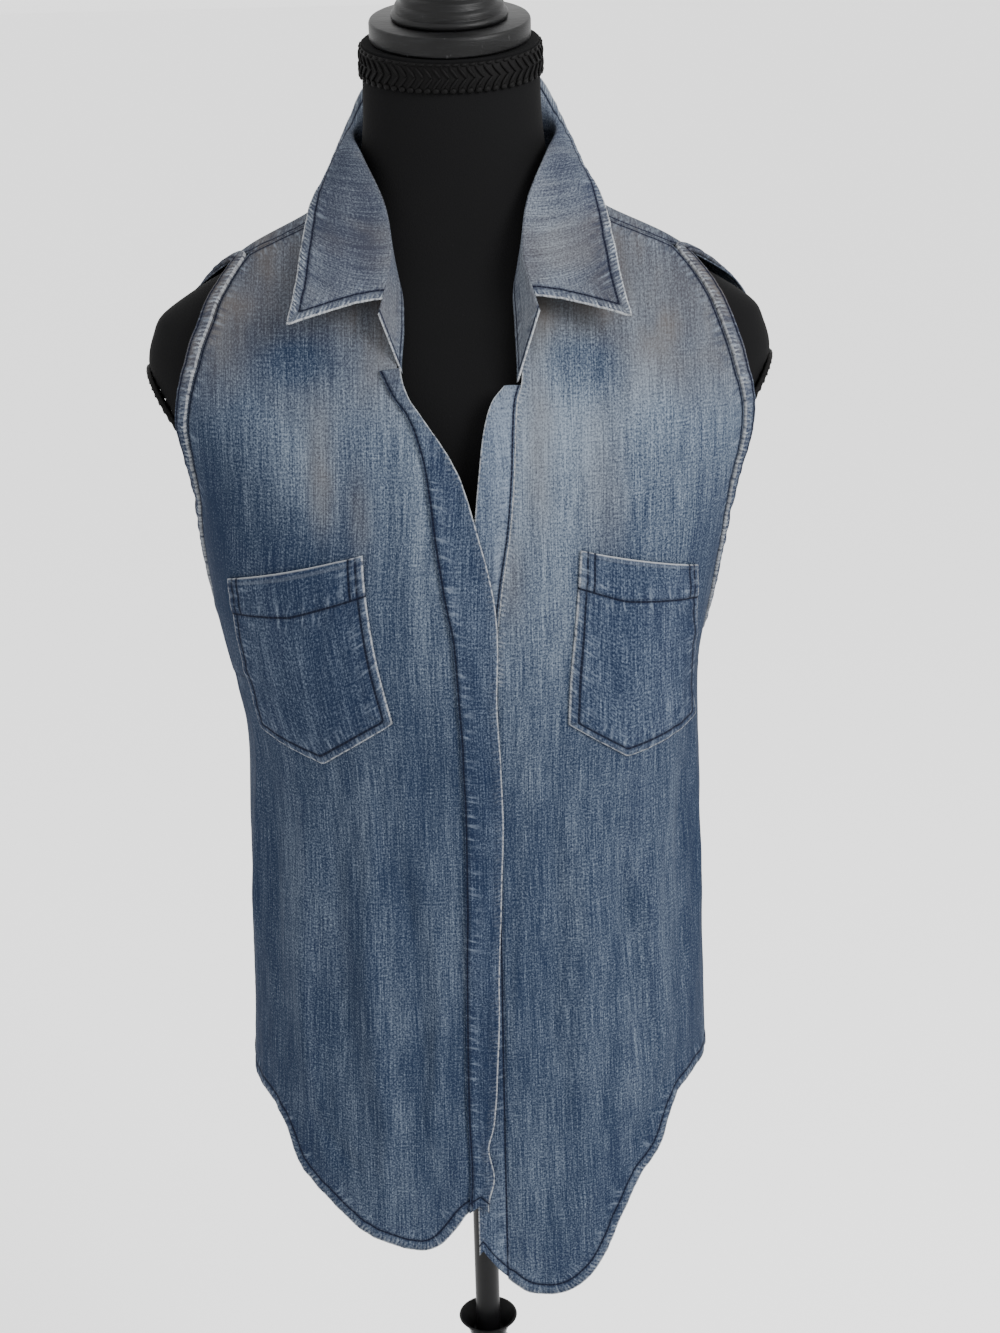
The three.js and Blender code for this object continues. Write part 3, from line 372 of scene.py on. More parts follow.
def fade_and_shade_field(grid, extra=0.0, top=1.0, painted_side_light=0.1):
    """How washed out the cloth is, with painted light on the lamp's side and painted shade toward the side
    seams and under the collar's front corners (x), and how far it turns to beige (y).
    """
    x, y, z = grid[..., 0], grid[..., 1], grid[..., 2]
    front = np.clip((20 - y) / 60, 0, 1)
    # Painted light: the upper fade is up to 14 % stronger on the side the key lamp lights (x above zero).
    high = step(1060, 1190, z) * (1 - 0.35 * step(1215, 1275, z)) * (0.86 + 0.14 * step(-60, 60, x))
    # Painted light and shade: the last argument paints the lamp's side (x above zero) lighter, or darker
    # when it is below zero; the front is painted darker toward the side seams, as painted shade where the
    # body turns away from the lamp.
    side = painted_side_light * step(-50, 80, x) - 0.26 * step(112, 165, np.abs(x)) * (1 - 0.7 * high) * front
    middle = 0.26 * (1 - step(35, 105, np.abs(x - 20))) * step(960, 1090, z)
    fade = top * (0.52 * high + middle * (1 - 0.35 * high)) + side
    tint = step(1160, 1245, z) * (0.3 + 0.7 * front)
    for px, pz, wide, tall, more, beige in WASH_AND_SHADOW_MARKS:
        mark = top * front * np.exp(-((x - px) / wide) ** 2 - ((z - pz) / tall) ** 2)
        fade, tint = fade + more * mark, tint + beige * mark
    streaks = noise(x * 0.075 + 40, z * 0.0045, 21) + 0.8 * noise(x * 0.035 + 9, z * 0.014, 22)
    fade = fade * (0.75 + 0.25 * front) + 0.30 * streaks * (0.6 + 0.4 * step(1000, 1120, z))
    return np.stack([fade + extra, top * np.clip(tint, 0, 1.2) + 0 * fade, 0 * fade], -1)


FADED_BLUE = np.array([1, 0.45, 1])      # the collar turns less beige than the shoulders


def pucker(arc, dist, offset, amount):
    """Small ruffles that stitching draws up beside an edge."""
    wave = noise(arc * 0.17, 0 * arc + 3.1, 5) + 0.6 * noise(arc * 0.36, dist * 0.12, 6)
    return amount * wave * np.exp(-(((dist - offset) / 7.0) ** 2))


# Cloth pieces
def front_angles(side, s, t):
    rows = FRONT_RIGHT if side < 0 else FRONT_LEFT
    hem = HEM_RIGHT if side < 0 else HEM_LEFT
    f = 1 + t
    z_mid = LOW_Z + (rows[0][0] - LOW_Z) * f
    x_in = table(BAND_RIGHT, z_mid, 1) + 5.2 if side < 0 else table(BAND_LEFT, z_mid, 2) + GAP + 0.1
    a_in = angle_at(x_in, z_mid)
    a_low = a_in + (side * 90 - a_in) * s
    low = table(hem, a_low, 1)
    high = rows[0][0] + (rows[0][3] - rows[0][0]) * s
    z_low = low + (high - low) * f
    z_in = along(rows, t, 0)
    x_in = table(rows, z_in, 1)
    a_in = angle_at(x_in, z_in)
    a_top = a_in + (side * along(rows, t, 2) - a_in) * s
    z_top = z_in + (along(rows, t, 3) - z_in) * s
    trim = side * SIDE_TRIM * (s > AT_SIDE)
    return np.where(t <= 0, a_low, a_top) - trim, np.where(t <= 0, z_low, z_top)


def back_angles(s, t):
    side = np.where(s < 0.5, 1.0, -1.0)
    k = np.abs(s - 0.5) * 2
    f = 1 + t
    a_low = 180 - 90 * k
    low = table(HEM_BACK, a_low, 1)
    high = BACK[0][0] + (np.where(side > 0, BACK[0][4], BACK[0][2]) - BACK[0][0]) * k
    z_low = low + (high - low) * f
    a_out = np.where(side > 0, along(BACK, t, 3), along(BACK, t, 1))
    z_out = np.where(side > 0, along(BACK, t, 4), along(BACK, t, 2))
    z_mid = along(BACK, t, 0)
    b = np.clip((t - 0.5) / 0.5, 0, 1) ** 1.5
    neck = k < NECK_SHARE
    g = np.where(neck, k / NECK_SHARE, (k - NECK_SHARE) / (1 - NECK_SHARE))
    a_top = np.where(neck, 180 + (NECK_ANGLE - 180) * g, NECK_ANGLE + (SEAM_ANGLE - NECK_ANGLE) * g)
    z_top = np.where(neck, BACK_Z + (NECK_Z - BACK_Z) * g, NECK_Z + (z_out - NECK_Z) * g)
    a_high = (180 + (a_out - 180) * k) * (1 - b) + (a_top + 0.45) * b
    z_high = (z_mid + (z_out - z_mid) * k) * (1 - b) + z_top * b
    angle = np.where(t <= 0, a_low + SIDE_TRIM * (k > AT_SIDE), np.minimum(a_high, 180))
    return side * angle, np.where(t <= 0, z_low, z_high)


FINE = 1.0


def grid_uv(n_u, n_v, trim=0.0):
    u = np.linspace(trim, 1 - trim, int(n_u * FINE) + 1)
    return np.meshgrid(u, np.linspace(0, 1, int(n_v * FINE) + 1))


def grid_st(n_s, n_t, split=0.35):
    """Across a body panel (s) and up it (t), below zero under the armhole."""
    s = np.linspace(0, 1, int(n_s * FINE) + 1)
    n_low = int(n_t * split * FINE)
    n_high = int(n_t * (1 - split) * FINE)
    t = np.concatenate([np.linspace(-1, 0, n_low + 1)[:-1], np.linspace(0, 1, n_high + 1)])
    return np.meshgrid(s, t)


def panel(fn, s, t, hem, seams):
    """A body panel; hem is its turned lower edge, seams are its joined edges."""
    angle, z = fn(s, t)
    base = skin(angle, z, np.zeros_like(z))
    d_hem, a_hem = polyline(hem, base)
    lift = 0.55 * (1 - step(6.8, 8.8, d_hem)) + pucker(a_hem, d_hem, 4, 0.9)
    d_seam, a_seam = FAR + 0 * d_hem, 0 * d_hem
    for seam in seams:
        d, a = polyline(seam, base)
        near = d < d_seam
        d_seam, a_seam = np.where(near, d, d_seam), np.where(near, a, a_seam)
    lift = lift + pucker(a_seam, d_seam, 5, 0.5)
    inner = skin(angle, z, 0.1 + np.minimum(lift, 0) * 0.2)
    outer = skin(angle, z, 1.0 + np.maximum(lift, -0.5))
    fields = {
        "cloth": body_fields(base), "fade": fade_and_shade_field(base),
        "edge": pair(d_hem, a_hem),
        "line_a": pair(d_hem - HEM_STITCH, a_hem),
        "line_b": pair(d_seam - SEAM_STITCH, a_seam),
    }
    return inner, outer, fields


def curve_of(fn, s, t):
    """Points on the sections where fn puts s and t."""
    a, z = fn(s, t)
    return skin(a, z, np.zeros_like(z))


ONE = np.linspace(0, 1, 90)
DOWN = np.linspace(-1, 0, 40)


def build_cloth(denim, deep, bias, leaf_look):
    made = {}

    def piece(name, *shell):
        made[name] = make(name + "_cloth", *shell)
        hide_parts(name)

    # Fronts
    for side, name in ((-1, "front_right"), (1, "front_left")):
        fn = lambda s, t, side=side: front_angles(side, s, t)
        s, t = grid_st(92, 250)
        arm, side_seam = curve_of(fn, 1 + 0 * ONE, ONE), curve_of(fn, 1 + 0 * DOWN, DOWN)
        shoulder = curve_of(fn, ONE, 1 + 0 * ONE)
        inner, outer, fields = panel(fn, s, t, curve_of(fn, ONE, -1 + 0 * ONE), [arm, side_seam, shoulder])
        base = curve_of(fn, s, t)
        d_in, run = polyline(curve_of(fn, 0 * ONE, np.linspace(-1, 1, 90)), base)
        if side > 0:
            # Its folded edge shows beside the under placket, above the crossing only
            d_show = d_in + FAR * (base[..., 2] < CROSS_Z)
            hem = fields["edge"]
            fields["edge"] = np.where((d_show < hem[..., 0])[..., None], pair(d_show, run), hem)
        # Bust dart, from the side seam up to the pocket
        dart = skin(side * np.linspace(89.5, 52, 24), np.linspace(982, 1008, 24), np.zeros(24))
        d_dart, a_dart = polyline(dart, base)
        fields["line_c"] = pair(d_dart, a_dart + 3)
        outer += (0.45 * np.exp(-(d_dart / 5) ** 2) - 0.5 * np.exp(-(d_dart / 1.4) ** 2))[..., None] \
            * (outer - inner)
        outer += 0.5 * pucker(run, d_in, 5, 0.8)[..., None] * (outer - inner)
        piece(name, inner, outer, denim, fields)

    # Back
    s, t = grid_st(170, 230)
    edges = [curve_of(back_angles, *at) for at in ((0 * ONE, ONE), (1 + 0 * ONE, ONE), (ONE, 1 + 0 * ONE))]
    inner, outer, fields = panel(back_angles, s, t, curve_of(back_angles, ONE, -1 + 0 * ONE), edges)
    piece("back", inner, outer, denim, fields)

    # Plackets
    for side, name, rows, hem_rows, lift, turn in (
        (-1, "placket_right", BAND_RIGHT, HEM_RIGHT, BAND_LIFT + 0.1, 5.0),
        (1, "placket_left", BAND_LEFT, HEM_LEFT, 0.0, 0.0),
    ):
        u, v = grid_uv(20, 330)
        top = rows[-1][0]
        x0, x1 = table(rows, LOW_Z, 1), table(rows, LOW_Z, 2)
        low = table(hem_rows, np.abs(angle_at(x0 + (x1 - x0) * u, LOW_Z + 0 * u)) * side, 1)
        z = low + (top - low) * v
        a, b = table(rows, z, 1), table(rows, z, 2)
        if side > 0:
            b = np.where(z > CROSS_Z, table(FRONT_LEFT, z, 1) - GAP - 0.5, b)
            b = b + 0.7 + 1.6 * (1 - step(560, 740, z))
        raise_ = turn * u * np.maximum((z - 1120) / 90, 0) ** 1.5
        if side < 0:
            # The free edge waves a little and stands off near the hem
            b = b + 2.2 * noise(z * 0.021, 0 * z, 9) * (1 - step(1080, 1150, z))
            raise_ = raise_ + (2.6 * (1 - step(600, 820, z)) + 0.8 * noise(z * 0.017, 0 * z, 12)) * u * u
        wide = b - a
        angle = angle_at(a + wide * u, z)
        d_seam, d_edge = wide * u, wide * (1 - u)
        if side > 0:
            d_seam, d_edge = d_edge, d_seam
        wave = pucker(z, d_seam, 5, 0.9) + pucker(z + 57, d_edge, 4, 0.7)
        body = skin(angle, z, lift + raise_)
        inner = skin(angle, z, min(lift, 1.15) + raise_)
        outer = skin(angle, z, lift + raise_ + 1.05 + np.clip(wave, -0.5, 1.2)
                     + 0.3 * np.sin(u * math.pi))
        fields = {
            "cloth": pair(angle * DEGREE_MM, z),
            "fade": fade_and_shade_field(body, -0.08 if side < 0 else 0.14, 0.55 if side < 0 else 0.8),
            "edge": pair(d_edge, z),
            "line_a": pair(d_seam - PLACKET_STITCH, z),
            "line_b": pair((z - low) - HEM_STITCH, a + wide * u),
        }
        piece(name, inner, outer, deep, fields, False, "denim_deep")

    # Pockets
    for name, shape in (("pocket_right", POCKET_RIGHT), ("pocket_left", POCKET_LEFT)):
        a, b, c, d, tip = [np.array(p, float) for p in shape]
        aa, ab, ac, ad, at = [float(angle_at(p[0], p[1])) for p in (a, b, c, d, tip)]
        w = (at - ad) / (ac - ad)
        drop = tip[1] - (d[1] + (c[1] - d[1]) * w)
        u, v = grid_uv(56, 84)
        mid = np.where(u < w, u / w, (1 - u) / (1 - w))
        low = d[1] + (c[1] - d[1]) * u + drop * mid
        top = a[1] + (b[1] - a[1]) * u
        z = low + (top - low) * v
        angle = (ad + (ac - ad) * u) * (1 - v) + (aa + (ab - aa) * u) * v
        body = skin(angle, z, BAND_LIFT + 0.4 + 0 * z)
        width, height = np.linalg.norm(a - b), np.linalg.norm(a - d)
        d_side = np.minimum(u, 1 - u) * width * 1.04
        d_low = v * height * np.cos(0.4 * (1 - v))
        d_top = (1 - v) * height
        d_out = np.minimum(d_side, d_low)
        run = np.where(d_side < d_low, v * height, u * width)
        band = 1 - step(POCKET_HEM - 1.5, POCKET_HEM + 0.5, d_top)
        wave = pucker(run, d_out, 5, 0.7) + pucker(u * width + 31, np.abs(d_top - POCKET_HEM), 0, 0.6)
        sag = 0.9 * noise(u * 3.1, v * 4.2, 8) * np.sin(u * math.pi)
        round_edge = 0.55 * (1 - step(0, 1.6, np.minimum(d_out, d_top)))
        outer = skin(angle, z, BAND_LIFT + 0.4 + 1.0 + 0.7 * band - round_edge
                     + np.clip(wave + sag, -0.4, 1.6))
        seated = skin(angle, z, 1.0 + 1.0 * (1 - step(0, 6, d_top)))
        flat_uv = pair(u * width, v * height)
        fields = {
            "cloth": flat_uv + np.array([[330.0 if "left" in name else 90.0, 0]]),
            "fade": fade_and_shade_field(body, 0.03, 0.2),
            "edge": pair(np.minimum(d_out, d_top), run),
            "line_a": pair(d_out - POCKET_STITCH, run),
            "line_b": pair(d_top - POCKET_HEM, u * width),
            "line_c": pair(np.where(d_top < POCKET_HEM, d_side - 9.2, FAR), v * height),
        }
        piece(name, seated, outer, deep, fields, False, "denim_deep")

    # Armhole bands
    for side, name in ((-1, "armhole_band_right"), (1, "armhole_band_left")):
        front = FRONT_RIGHT if side < 0 else FRONT_LEFT
        ca, cz = (3, 4) if side > 0 else (1, 2)
        k = np.linspace(0, 1, 170)
        ea = np.concatenate([along(front, k, 2), along(BACK, k[::-1], ca)[1:-1]]) * side
        ez = np.concatenate([along(front, k, 3), along(BACK, k[::-1], cz)[1:-1]])
        # The armhole's line, its points evened out and its corners rounded
        line = surface(ea, ez)
        gap = np.linalg.norm(np.roll(line, -1, 0) - line, axis=1)
        run = np.concatenate([[0], np.cumsum(gap)])
        n = int(330 * FINE)
        at = np.linspace(0, run[-1], n, endpoint=False)
        ea = np.interp(at, run, np.append(ea, ea[0]))
        ez = np.interp(at, run, np.append(ez, ez[0]))
        mix = np.array([1, 2, 3, 2, 1.0]) / 9
        for _ in range(6):
            ea = sum(m * np.roll(ea, i - 2) for i, m in enumerate(mix))
            ez = sum(m * np.roll(ez, i - 2) for i, m in enumerate(mix))
        q = surface(ea, ez)
        tangent = np.roll(q, -1, 0) - np.roll(q, 1, 0)
        normal = normal_at(ea, ez, q)
        into = -side * unit(np.cross(normal, tangent))
        across = np.linspace(-0.9, 8.0, 11)
        inset = across[:, None] + 0 * at[None]
        arc = 0 * across[:, None] + at[None]
        wave = pucker(arc, inset, 4, 1.0)
        rim = 0.5 * (1 - step(-0.9, 0.8, inset)) + 0.45 * step(6.6, 8.0, inset)
        base = q[None] + into[None] * inset[..., None]
        # The inner face wraps the panel's edge, then lies on the panel
        inner = base + normal[None] * (1.0 - 1.3 * (1 - step(-0.8, 0.3, inset)))[..., None]
        outer = base + normal[None] * (BAND_LIFT + 0.45 + 0.35 * inset / 8 + 1.3 - rim
                                       + np.clip(wave, -0.5, 1.0))[..., None]
        fields = {
            "cloth": pair(arc, inset), "fade": fade_and_shade_field(inner, -0.1),
            "edge": pair(inset + 0.9, arc),
            "line_a": pair(inset - BAND_STITCH, arc),
        }
        piece(name, inner, outer, bias, fields, True, "denim_deep")

    # Collar
    for name, (inner, outer, fields) in (("collar_stand", collar_stand()), ("collar_leaf", collar_leaf())):
        piece(name, inner, outer, leaf_look, fields)
    return made


def collar_curve(t, c):
    u = np.abs(t * 2 - 1)
    p = [along(COLLAR, 1 - u, c + i) for i in range(3)]
    x = np.where(t < 0.5, p[0], -p[0] + u * COLLAR_SHIFT)
    return np.stack([x, p[1], p[2]], -1)


def neck_edge(u, out):
    k = 1 - np.abs(u * 2 - 1)
    side = np.where(u < 0.5, -1.0, 1.0)
    tf = np.clip((7 + 8 * k) / 11, 0, 1)
    fr = front_angles(-1, 0 * u, tf)
    fl = front_angles(1, 0 * u, tf)
    ba = back_angles(0.5 - side * (1 - k) * NECK_SHARE, 1 + 0 * u)
    angle = np.where(k <= 0.5, np.where(side < 0, fr[0], fl[0]), ba[0])
    z = np.where(k <= 0.5, np.where(side < 0, fr[1], fl[1]), ba[1])
    return skin(angle, z, out + 0 * z)


def neck_point(u):
    p, o = neck_edge(u, 0.0), neck_edge(u, 1.0)
    a, b = neck_edge(np.minimum(u + 0.01, 1), 0.0), neck_edge(np.maximum(u - 0.01, 0), 0.0)
    into = unit(np.cross(o - p, a - b))
    sign = np.where(into[..., 0] * -p[..., 0] + into[..., 1] * (-5 - p[..., 1]) > 0, 1.0, -1.0)
    away = np.where(np.abs(u * 2 - 1) > 0.7, 2.0, CLOTH / 2 + GAP + 0.8)
    return p + into * (sign * away)[..., None]


def leaf_point(u, v):
    w = np.clip((u - LEAF_START) / (1 - 2 * LEAF_START), 0, 1)
    p, q = collar_curve(u, 0), collar_curve(w, 3)
    rise = along(COLLAR, 1 - np.abs(w * 2 - 1), 6)
    m = p + (q - p) * v[..., None]
    b = 4 * v * (1 - v)
    radial = m[..., :2] / np.maximum(np.linalg.norm(m[..., :2], axis=-1, keepdims=True), 1)
    return np.stack([m[..., 0] - radial[..., 0] * b * 3, m[..., 1] - radial[..., 1] * b * 3,
                     m[..., 2] + rise * b], -1)


def thicken(grid, low, high):
    du = np.gradient(grid, axis=1)
    dv = np.gradient(grid, axis=0)
    n = unit(np.cross(du, dv))
    return grid + n * low[..., None], grid + n * high[..., None]


def collar_stand():
    u, v = grid_uv(240, 18)
    low, roll = neck_point(u), collar_curve(u, 0)
    l = np.linalg.norm(roll - low, axis=-1)
    f = -2.5 / l + (1 + 2.8 / l) * v
    g = low + (roll - low) * f[..., None]
    uv = flat(g)
    d_v = np.minimum(v, 1 - v) * l
    d_end = np.minimum(u, 1 - u) * 470
    wave = pucker(uv[..., 0], d_v, 4, 0.5)
    inner, outer = thicken(g, -0.55 + np.minimum(wave, 0) * 0.4, 0.55 + np.maximum(wave, 0) * 0.4)
    fields = {
        "cloth": uv[..., ::-1], "fade": fade_and_shade_field(g, -0.15, 1.0, 0.0) * FADED_BLUE,
        "edge": pair(d_end, uv[..., 1]),
        "line_a": pair(np.minimum(v * l, d_end) - STAND_STITCH, uv[..., 0]),
    }
    return inner, outer, fields


def collar_leaf():
    u, v = grid_uv(240, 44, LEAF_START)
    l = np.linalg.norm(leaf_point(u, 0 * v) - leaf_point(u, 0 * v + 1), axis=-1)
    g = leaf_point(u, v)
    uv = flat(g)
    d_top = (1 - v) * l
    front_edge = [g[:, 0], g[:, -1]]
    d_end = np.minimum(polyline(front_edge[0], g)[0], polyline(front_edge[1], g)[0])
    edge = np.minimum(d_top, d_end)
    run = np.where(d_top < d_end, uv[..., 0], uv[..., 1])
    soft = 1.6 * noise(u * 26, v * 1.3, 11) * np.sin(v * math.pi) + pucker(run, edge, 4, 0.9)
    soft = np.clip(soft, -0.9, 0.9)
    g = g + unit(np.cross(np.gradient(g, axis=1), np.gradient(g, axis=0))) * soft[..., None]
    lip = 0.15 * (1 - step(5, 8, edge))
    inner, outer = thicken(g, -0.55 - lip, 0.55 + lip)
    # Paler along the outer edge, deeper blue where the leaf bends at its foot
    foot = 1 - step(1215, 1258, g[..., 2])
    wear = 0.24 * np.exp(-(edge / 15) ** 2) - 0.42 * np.exp(-((edge - 36) / 15) ** 2) * foot
    wear = wear + 0.55 * noise(uv[..., 0] * 0.040, uv[..., 1] * 0.045, 23)
    fields = {
        "cloth": uv,
        # Painted shade: -0.14 paints the leaf darker on the lamp's side (x above zero).
        "fade": (fade_and_shade_field(g, -0.12, 1.0, -0.14) + wear[..., None] * [1, 0, 0]) * FADED_BLUE,
        "edge": pair(edge, run),
        "line_a": pair(edge - LEAF_STITCH, run),
    }
    return inner, outer, fields


# Materials
EXPOSE = 0.46       # share that suits the strength of the light


def srgb(r, g, b):
    linear = [((c / 255 + 0.055) / 1.055) ** 2.4 if c > 10 else c / 255 / 12.92 for c in (r, g, b)]
    return tuple(EXPOSE * c for c in linear) + (1.0,)


class Nodes:
    def __init__(self, name):
        self.mat = bpy.data.materials.new(name)
        self.mat.use_nodes = True
        self.tree = self.mat.node_tree
        self.tree.nodes.clear()
        self.out = self.tree.nodes.new("ShaderNodeOutputMaterial")
        self.bsdf = self.tree.nodes.new("ShaderNodeBsdfPrincipled")
        self.link(self.bsdf.outputs[0], self.out.inputs[0])

    def link(self, a, b):
        self.tree.links.new(a, b)

    def put(self, socket, value):
        if isinstance(value, bpy.types.NodeSocket):
            self.link(value, socket)
        else:
            socket.default_value = value

    def attr(self, name):
        n = self.tree.nodes.new("ShaderNodeAttribute")
        n.attribute_name = name
        return n.outputs["Vector"]

    def split(self, vector):
        n = self.tree.nodes.new("ShaderNodeSeparateXYZ")
        self.put(n.inputs[0], vector)
        return n.outputs

    def join(self, x, y, z=0.0):
        n = self.tree.nodes.new("ShaderNodeCombineXYZ")
        for s, v in zip(n.inputs, (x, y, z)):
            self.put(s, v)
        return n.outputs[0]

    def math(self, op, a, b=0.0, clamp=False):
        n = self.tree.nodes.new("ShaderNodeMath")
        n.operation = op
        n.use_clamp = clamp
        self.put(n.inputs[0], a)
        self.put(n.inputs[1], b)
        return n.outputs[0]

    def noise(self, vector, detail, rough):
        n = self.tree.nodes.new("ShaderNodeTexNoise")
        self.put(n.inputs["Vector"], vector)
        n.inputs["Scale"].default_value = 1.0
        n.inputs["Detail"].default_value = detail
        n.inputs["Roughness"].default_value = rough
        return n.outputs["Fac"]

    def ramp(self, value, low, high, a=0.0, b=1.0):
        n = self.tree.nodes.new("ShaderNodeMapRange")
        n.interpolation_type = "SMOOTHSTEP"
        self.put(n.inputs["Value"], value)
        for key, v in (("From Min", low), ("From Max", high), ("To Min", a), ("To Max", b)):
            self.put(n.inputs[key], v)
        return n.outputs["Result"]

    def mix(self, f, a, b):
        n = self.tree.nodes.new("ShaderNodeMix")
        n.data_type = "RGBA"
        self.put(n.inputs["Factor"], f)
        self.put(n.inputs[6], a)
        self.put(n.inputs[7], b)
        return n.outputs[2]

    def grain(self, scale, detail, rough):
        """Noise in the object's own space, its cells drawn out as scale says."""
        where = self.tree.nodes.new("ShaderNodeTexCoord")
        n = self.tree.nodes.new("ShaderNodeMapping")
        self.put(n.inputs["Vector"], where.outputs["Object"])
        n.inputs["Scale"].default_value = scale
        return self.noise(n.outputs[0], detail, rough)

    def done(self, colour, rough, shine, height=None, distance=0.0, strength=0.0):
        self.put(self.bsdf.inputs["Base Color"], colour)
        self.bsdf.inputs["Roughness"].default_value = rough
        self.bsdf.inputs["Specular IOR Level"].default_value = shine
        if height is not None:
            n = self.tree.nodes.new("ShaderNodeBump")
            n.inputs["Strength"].default_value = strength
            n.inputs["Distance"].default_value = distance
            self.put(n.inputs["Height"], height)
            self.put(self.bsdf.inputs["Normal"], n.outputs[0])
        return self.mat


def denim(name, dark, light, worn=0.9, ribs=0.7):
    """Washed denim: worn is how white its edges are, ribs how strongly felled edges are ribbed."""
    m = Nodes(name)
    mul, add, sub = (lambda a, b, k=k: m.math(k, a, b) for k in ("MULTIPLY", "ADD", "SUBTRACT"))

    def cells(a, a_scale, b, b_scale, plane, detail, rough):
        return m.noise(m.join(mul(a, a_scale), mul(b, b_scale), plane), detail, rough)

    cloth = m.split(m.attr("cloth"))
    u, v = cloth[0], cloth[1]
    fine = cells(u, 1.15, v, 0.028, 0.0, 3.0, 0.65)
    streak = cells(u, 0.17, v, 0.006, 4.0, 3.0, 0.6)
    slub = cells(u, 0.05, v, 1.3, 9.0, 2.0, 0.6)
    cloud = cells(u, 0.016, v, 0.009, 2.0, 3.0, 0.55)
    weave = cells(u, 0.85, v, 0.7, 6.0, 2.0, 0.7)
    fade = m.split(m.attr("fade"))
    total = mul(sub(fine, 0.5), 1.25)
    for part, share in ((streak, 0.38), (slub, 0.42), (cloud, 0.42), (weave, 1.8)):
        total = add(total, mul(sub(part, 0.5), share))
    total = m.math("ADD", add(total, 0.262), mul(fade[0], 0.62), clamp=True)
    colour = m.mix(m.math("POWER", total, 1.7), dark, light)
    warm = mul(fade[1], m.ramp(cloud, 0.40, 0.62, 0.38, 0.95))
    colour = m.mix(warm, colour, srgb(104, 97, 90))

    # Felled edge: thread-wide ribs, faded on their crests, from the edge to its stitching
    edge = m.split(m.attr("edge"))
    rope = cells(edge[1], 0.38, edge[0], 0.34, 3.0, 2.0, 0.6)
    near = m.ramp(edge[0], 1.5, 7.0, 1.0, 0.0)
    turn = add(add(mul(edge[1], 2.1), mul(edge[0], 0.5)), mul(rope, 9.0))
    patch = cells(edge[1], 0.055, edge[0], 0.04, 5.0, 2.0, 0.6)
    rib = mul(near, m.ramp(m.math("SINE", turn), -0.7, 0.9, 0.0, 1.0))
    rib = mul(rib, m.ramp(patch, 0.42, 0.58, 0.4, 1.1))
    colour = m.mix(mul(mul(near, 0.42), ribs), colour, srgb(34, 46, 72))
    colour = m.mix(mul(mul(rib, m.ramp(rope, 0.36, 0.62, 0.15, 0.8)), ribs), colour, srgb(184, 192, 200))
    rim = mul(m.ramp(edge[0], 0.25, 1.15, 1.0, 0.0), m.ramp(rope, 0.34, 0.56, 0.15, 1.0))
    colour = m.mix(mul(rim, worn), colour, srgb(206, 209, 212))

    height = add(mul(weave, 0.10), add(mul(mul(near, rope), 0.9), mul(rib, 0.35)))
    for line in ("line_a", "line_b", "line_c"):
        q = m.split(m.attr(line))
        gap = m.math("ABSOLUTE", q[0])
        # A piece without this line reads zero for both values, which switches it off
        there = m.math("GREATER_THAN", add(m.math("ABSOLUTE", q[1]), gap), 1e-4)
        # Painted shade: the cloth is painted darker in a groove up to 2.4 mm either side of each stitch
        # line. The bump sinks the same groove.
        trough = mul(m.ramp(gap, 0.5, 2.4, 1.0, 0.0), there)
        dash = m.math("LESS_THAN", m.math("FRACT", mul(q[1], 0.31)), 0.72)
        thread = mul(mul(m.ramp(gap, 0.42, 0.85, 1.0, 0.0), there), add(mul(dash, 0.22), 0.74))
        ruck = m.noise(m.join(add(mul(q[1], 0.30), mul(q[0], 0.07)), mul(q[0], 0.06), 7.0), 2.0, 0.5)
        wide = mul(m.ramp(gap, 0.8, 12.0, 1.0, 0.0), there)
        beside = mul(wide, m.ramp(ruck, 0.53, 0.68, 0.0, 0.36))
        shade = mul(wide, m.ramp(ruck, 0.47, 0.34, 0.0, 0.5))
        colour = m.mix(beside, colour, srgb(150, 163, 180))
        colour = m.mix(shade, colour, srgb(28, 39, 64))
        colour = m.mix(mul(trough, 0.45), colour, srgb(26, 36, 58))
        colour = m.mix(thread, colour, srgb(15, 20, 38))
        height = add(height, mul(mul(ruck, m.ramp(gap, 0.6, 9.0, 1.0, 0.0)), 1.2))
        height = sub(height, mul(trough, 0.7))
    return m.done(colour, 0.95, 0.08, height, 0.0012, 0.6)


def jersey():
    m = Nodes("black_jersey")
    knit = m.grain((900, 900, 500), 2.0, 0.6)
    dust = m.grain((300, 300, 300), 4.0, 0.75)
    colour = m.mix(m.ramp(dust, 0.69, 0.76, 0.0, 0.3), srgb(20, 20, 21), srgb(60, 60, 62))
    return m.done(colour, 0.9, 0.06, knit, 0.0004, 0.4)


def braid_look():
    m = Nodes("black_braid")
    thread = m.grain((1100, 1100, 400), 2.0, 0.6)
    return m.done(m.mix(thread, srgb(2, 2, 3), srgb(20, 19, 19)), 0.6, 0.07, thread, 0.0006, 0.6)


def wood_look():
    m = Nodes("black_painted_wood")
    brush = m.grain((55, 55, 420), 4.0, 0.7)
    chip = m.grain((240, 160, 90), 3.0, 0.7)
    colour = m.mix(m.ramp(brush, 0.45, 0.75, 0.0, 0.6), srgb(10, 10, 11), srgb(34, 35, 37))
    colour = m.mix(m.ramp(chip, 0.66, 0.74, 0.0, 0.5), colour, srgb(84, 84, 85))
    return m.done(colour, 0.45, 0.16, brush, 0.0008, 0.5)


def metal_look():
    m = Nodes("black_metal_paint")
    grain = m.grain((160, 160, 160), 3.0, 0.6)
    return m.done(m.mix(grain, srgb(12, 12, 13), srgb(24, 24, 26)), 0.4, 0.12, grain, 0.0003, 0.2)


